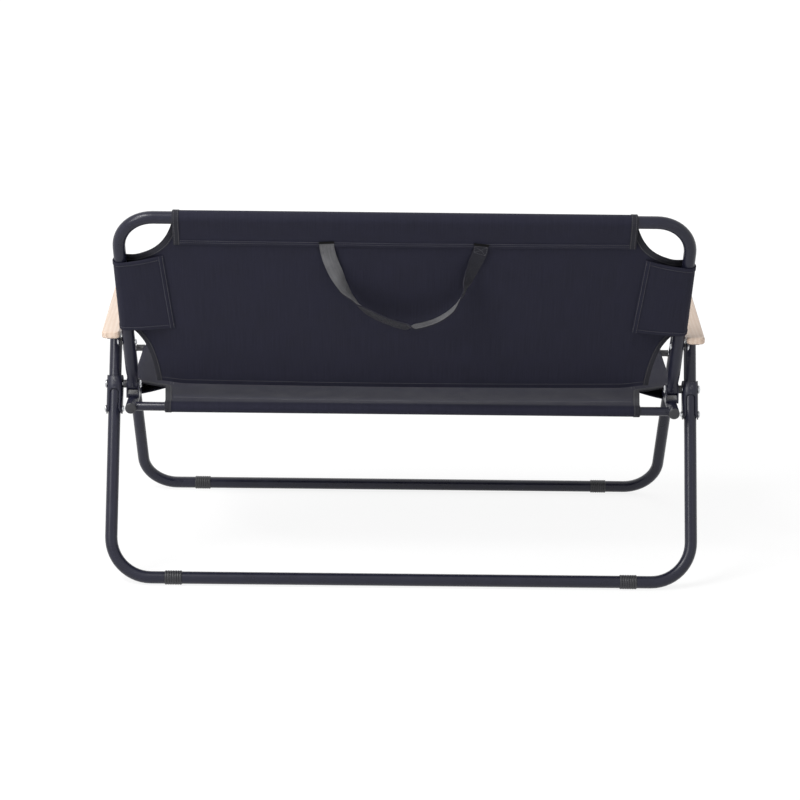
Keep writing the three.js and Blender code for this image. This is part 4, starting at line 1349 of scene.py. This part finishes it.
def fold_hem(cloth, path, side, width, wall, insets, overhang=0.0002):
    """Folds an edge back on the hidden face, with rows of stitches at given insets."""
    folds.append(laid_tape(cloth, path, side, flat_tape(-overhang, width, tape_lift, wall), -1))
    for inset in insets:
        stitches.extend(stitch_row(cloth, path, side, inset, tape_lift + wall, -1))


cloth_half = cloth_thickness / 2
tape_lift = cloth_half + 0.0001
tape_top = tape_lift + tape_thickness
bind_width = 0.0105
edge_stitch = 0.0018
bind_stitch = bind_width - edge_stitch
low_bind_width = 0.0085
low_bind_stitch = low_bind_width - 0.0016
rim_fold = (0.0082, 0.0006, [0.0070], 0.0001)
foot_half = 0.4365
foot_stitch = 0.0088
seam_margin = 0.004
hem_rows = (0.0052, 0.0092)
hem_front = hem_loop(hem_half).front_across
hem_end = line((hem_half, hem_front + 0.0004), (hem_half, hem_front + hem_loop(hem_half).length), 46)
band_end = []
for up in [band_low + (band_high - band_low) * share for share in evenly(40)]:
    band_end.append((band_loop(up).front_across + band_loop(up).length, up))
tapes, folds, stitches = [], [], []
bindings = (
    (opening, bind_width, [(bind_stitch, 1), (bind_stitch, -1)]),
    (cutout, low_bind_width, [(low_bind_stitch, 1), (low_bind_stitch, -1)]),
    (hem_end, bind_width, [(edge_stitch, -1), (bind_stitch, -1)]),
)
for side in (1, -1):
    for path, width, rows in bindings:
        bind(back_cloth, on_side(path, side), side, width, rows)
    fold_hem(back_band, on_side(band_end, side), side, 0.0095, 0.0009, (edge_stitch, 0.0078))
    for up, way in ((band_low, 1), (band_high, -1)):
        loop = band_loop(up)
        rim = line((loop.front_across + 0.002, up), (loop.front_across + loop.length - 0.0002, up), 50)
        fold_hem(back_band, on_side(rim, side), way * side, *rim_fold)

hem_last = []
for across, _ in line((-hem_half + bind_width, 0), (hem_half - bind_width, 0), 160):
    hem_last.append((across, hem_loop(across).front_across + hem_loop(across).length))
fold_hem(back_cloth, hem_last, -1, 0.0115, 0.0007, hem_rows)
front_row = line((-hem_half + seam_margin, hem_seam), (hem_half - seam_margin, hem_seam), 160)
for inset in hem_rows:
    stitches += stitch_row(back_cloth, front_row, 1, inset, cloth_half, -1)
foot = line((-foot_half, panel_low), (foot_half, panel_low), 160)
fold_hem(back_cloth, foot, 1, 0.0105, 0.0009, [foot_stitch])
stitches += stitch_row(back_cloth, foot, 1, foot_stitch, cloth_half, 1)
back_trims = [
    joined_trims("back_edge_tapes", tapes, "back", sling_tape),
    joined_trims("back_folded_hems", folds, "back", sling_cloth),
    joined_trims("back_stitches", stitches, "back", sewing_thread),
]


# Trims of the seat, sewn the same way: bound corner edges and hem ends, double rows beside the rear
# and the front rail, and two rows along each sleeve.
sleeve_seam_half = 0.4225
seat_seam_margin = 0.012
rear_corner = [(seat_edge(along), along) for along in seat_ways if along > sleeve_rear - hair]
front_corner = [(seat_edge(along), along) for along in seat_ways if along < front_slant + hair]
sleeve_seam = line((sleeve_seam_half, sleeve_front + 0.003), (sleeve_seam_half, sleeve_rear - 0.003), 60)
tapes, folds, stitches = [], [], []
for side in (1, -1):
    for path in (rear_corner, front_corner):
        bind(seat_cloth, on_side(path, side), side, bind_width, [(bind_stitch, -1)])
    for offset in (0.0, 0.005):
        stitches += stitch_row(seat_cloth, on_side(sleeve_seam, side), side, offset, cloth_half, -1)
    for along, way in ((sleeve_rear, -1), (sleeve_front, 1)):
        rim = line((seat_half + 0.001, along), (seat_half + sleeve_run - 0.001, along), 46)
        fold_hem(seat_cloth, on_side(rim, side), way * side, *rim_fold)
for rail, way, reach in ((rail_rear, -1, seat_rear_half), (rail_front, 1, seat_front_half)):
    seam = rail + way * seat_hem_seam
    row = line((-reach + seat_seam_margin, seam), (reach - seat_seam_margin, seam), 150)
    for offset in (0.002, 0.006):
        stitches += stitch_row(seat_cloth, row, way, -offset, cloth_half, -1)
    end = rail - way * under_run
    last = line((-reach + bind_width, end), (reach - bind_width, end), 150)
    fold_hem(seat_cloth, last, way, 0.0105, 0.0007, [0.0060])
seat_trims = [
    joined_trims("seat_edge_tapes", tapes, "seat_frame", sling_tape),
    joined_trims("seat_folded_hems", folds, "seat_frame", sling_cloth),
    joined_trims("seat_stitches", stitches, "seat_frame", sewing_thread),
]


# Carry handle: one strap of black webbing, its ends sewn flat below the top hem, with a near-black strip
# past each end as painted shadow. It hangs in a loop and twists. One face is coloured light as painted
# sheen and the other near black as painted shade, so that they show by turns.
handle_width = 0.025
handle_thickness = 0.0022
handle_route = [
    (0.1335, 0.0118, 0.3175),
    (0.1325, 0.0130, 0.3060),
    (0.1268, 0.0180, 0.2854),
    (0.1154, 0.0265, 0.2604),
    (0.1036, 0.0325, 0.2394),
    (0.0882, 0.0370, 0.2202),
    (0.0716, 0.0420, 0.2037),
    (0.0472, 0.0470, 0.1900),
    (0.0206, 0.0500, 0.1788),
    (-0.0071, 0.0510, 0.1712),
    (-0.0302, 0.0500, 0.1734),
    (-0.0588, 0.0480, 0.1840),
    (-0.0835, 0.0420, 0.2008),
    (-0.0982, 0.0360, 0.2219),
    (-0.1055, 0.0300, 0.2407),
    (-0.1113, 0.0240, 0.2580),
    (-0.1211, 0.0160, 0.2820),
    (-0.1292, 0.0128, 0.3026),
    (-0.1310, 0.0122, 0.3165),
]
handle_twist = [(0, 0), (0.045, 0), (0.11, 22), (0.19, 45), (0.27, 61), (0.31, 80), (0.35, 92)]
handle_twist += [(0.74, 90), (0.8, 80), (0.84, 52), (0.89, 32), (0.94, 8), (0.955, 0), (1, 0)]
handle_tilt = [(0, 50), (0.2, 58), (0.5, 60), (0.54, 16), (0.7, 16), (0.77, 36), (1, 38)]


def curve_value(stops, t):
    """The angle at a share of the strap's length, in radians, from (share, degrees) stops."""
    for (start, low), (end, high) in zip(stops, stops[1:]):
        if t <= end:
            return math.radians(low + (high - low) * smooth_step(t, start, end))


def square_to(way, along):
    return (way - along * way.dot(along)).normalized()


handle_steps = 170
handle_columns = 10
end_ease = 30
cup_depth = 0.0011
wave_depth = 0.0004
route, handle_length = smooth_route(handle_route, handle_steps)
points, flats, shaded_face_ways = [], [], []
for i, spot in enumerate(route):
    along = (route[min(i + 1, handle_steps)] - route[max(i - 1, 0)]).normalized()
    twist = curve_value(handle_twist, i / handle_steps)
    tilt = curve_value(handle_tilt, i / handle_steps)
    flat = Vector((math.cos(twist), math.sin(twist) * math.cos(tilt), math.sin(twist) * math.sin(tilt)))
    flat = square_to(flat, along)
    normal = along.cross(flat)
    # This normal points out of the face that is coloured as painted shade.
    shaded_face_ways.append(normal)
    loose = min(1.0, min(i, handle_steps - i) / end_ease)
    for j in range(handle_columns + 1):
        share = 2 * j / handle_columns - 1
        cup = cup_depth * loose * (share**2 - 0.4)
        cup += wave_depth * noise.noise(Vector((i * 0.09, share * 0.7, 5.0)))
        points.append(spot + flat * share * handle_width / 2 + normal * cup)
        flats.append((share * handle_width / 2, handle_length * i / handle_steps))
# The lit face's weave tones are made light as painted sheen; the other face gets one near-black tone as
# painted shade.
lit_face_tones = (0.03, 0.03, 0.034), (0.2, 0.2, 0.21)
painted_shade_tone = (0.0085, 0.0085, 0.016)
webbing = woven(
    "black_webbing", "webbing", *lit_face_tones, (0.0016, 0.0011), 0.45, 0.12, 0.6, 0.95, painted_shade_tone
)
handle = mesh_piece("carry_handle_strap", points, grid_faces(handle_steps, handle_columns), flats)
finish_cloth(handle, handle_thickness)
# Faces marked 1 show the light weave as painted sheen; faces marked 0 show the painted shade colour.
lit_face_flags = handle.data.attributes.new("lit_face_mark", "FLOAT", "FACE")
for face in handle.data.polygons:
    run = handle.data.uv_layers["flat"].data[face.loop_start].uv.y
    shaded_face_way = shaded_face_ways[max(0, min(handle_steps, round(run / handle_length * handle_steps)))]
    lit_face_flags.data[face.index].value = 1.0 if face.normal.dot(shaded_face_way) < 0 else 0.0
settle(handle, "back", webbing, "carry_handle", smooth=50)


def strap_cloth(across, along):
    """A point of the strap's own flat cut, for what is sewn to it."""
    step = handle_length / handle_steps
    i = max(0, min(handle_steps - 1, int(along / step)))
    flat = square_to(Vector((1, 0, 0)), (route[i + 1] - route[i]).normalized())
    return route[i].lerp(route[i + 1], along / step - i) + flat * across


box_half = 0.0105
box_start, box_end = 0.002, 0.017
strap_top = handle_thickness / 2 + 0.0001
stitches = []
for low, high, face in (
    (box_start, box_end, -1),
    (handle_length - box_end, handle_length - box_start, 1),
):
    box = [(-box_half, low), (box_half, low), (box_half, high), (-box_half, high)]
    for start, end in ((0, 1), (3, 2), (0, 3), (1, 2), (0, 2), (3, 1)):
        stitches += stitch_row(strap_cloth, line(box[start], box[end], 12), 1, 0.0, strap_top, face)
handle_trims = [joined_trims("handle_stitches", stitches, "back", sewing_thread)]

# Painted shadow: a near-black strip laid just past each end of the strap stands in for the shadow in the
# seam gap where the strap goes in.
shadow_strip_half = 0.0132
shadow_strip_gap = 0.0015
shadow_strip_tones = (0.0008, 0.0008, 0.001), (0.002, 0.002, 0.0026)
shadow_strip_cloth = woven("painted_shadow_strip_cloth", "webbing", *shadow_strip_tones, (0.0009, 0.0006), 0.9, 0.0, 0.6)
shadow_strips = []
for along, face in ((-shadow_strip_gap, -1), (handle_length + shadow_strip_gap, 1)):
    row = line((-shadow_strip_half, along), (shadow_strip_half, along), 8)
    shadow_strips.append(laid_tape(strap_cloth, row, 1, flat_tape(-0.0018, 0.0036, 0.0004, 0.0018), face))
handle_trims.append(joined_trims("handle_painted_shadow_strips", shadow_strips, "back", shadow_strip_cloth))


# Armrests: plain rounded bars of pale wood, one grain line running the whole length, under a thin
# matt oil. They stand a little closer together behind than in front.
wood_pale = (0.79, 0.64, 0.53, 1)
wood_warm = (0.745, 0.58, 0.46, 1)
wood_pore = (0.58, 0.42, 0.29, 1)
oiled = bpy.data.materials.new("pale_oiled_wood")
tree = cleared(oiled)
where = make(tree, "ShaderNodeTexCoord").outputs["Object"]
along_grain = stretched(tree, where, (1.0, 0.07, 1.0))
sway = clouds(tree, along_grain, 26.0, 3.0)["Color"]
swayed = make(tree, "ShaderNodeMix", {0: 0.012, 4: along_grain, 5: sway}, data_type="VECTOR").outputs[1]
rings = make(
    tree,
    "ShaderNodeTexWave",
    {"Vector": swayed, "Scale": 42.0, "Distortion": 2.2, "Detail": 2.0, "Detail Scale": 1.2},
    bands_direction="X",
)
fibre = clouds(tree, stretched(tree, where, (1.0, 0.022, 1.0)), 1150.0, 3.0)["Fac"]
haze = effect(tree, mottle, where, 30.0, 0.42, 0.56)
tone = mixed(tree, rings.outputs["Fac"], wood_pale, wood_warm)
tone = mixed(tree, ranged(tree, fibre, 0.6, 0.72, 0.0, 0.55), tone, wood_pore)
grain = bumped(tree, fibre, 0.12, 0.0002, invert=True)
surfaced(tree, tone, haze["Value"], grain, {"Coat Weight": 0.08})

arm_width = 31 * mm
arm_thickness = 12.5 * mm
arm_underside = 9.2 * mm
arm_rear = 15 * mm
arm_front = arm_eye.y - 28 * mm
arm_corner = 8 * mm
arm_edge = 3 * mm
arm_rear_half = arm_screw_x + back_radius + washer + 2 * gap + arm_width / 2
armrest = begin(bpy.ops.mesh.primitive_cube_add, "armrest_wood_left", size=1)
size = Matrix.Diagonal((arm_width, arm_rear - arm_front, arm_thickness, 1))
middle = Matrix.Translation((0, (arm_rear + arm_front) / 2, arm_underside + arm_thickness / 2))
armrest.data.transform(middle @ size)
pick(armrest, "EDGE", lambda ends: abs(ends[0].z - ends[1].z) > arm_thickness / 2)
bevel(arm_corner, 9)
edit(armrest, "EDGE", "SELECT")
bevel(arm_edge, 5)
outside(armrest)
for vertex in armrest.data.vertices:
    vertex.co.x += arm_rear_half + (arm_front_half - arm_rear_half) * vertex.co.y / arm_eye.y
settle_pair(armrest, "armrest", (oiled, "pale_wood"), "armrest", smooth=40)
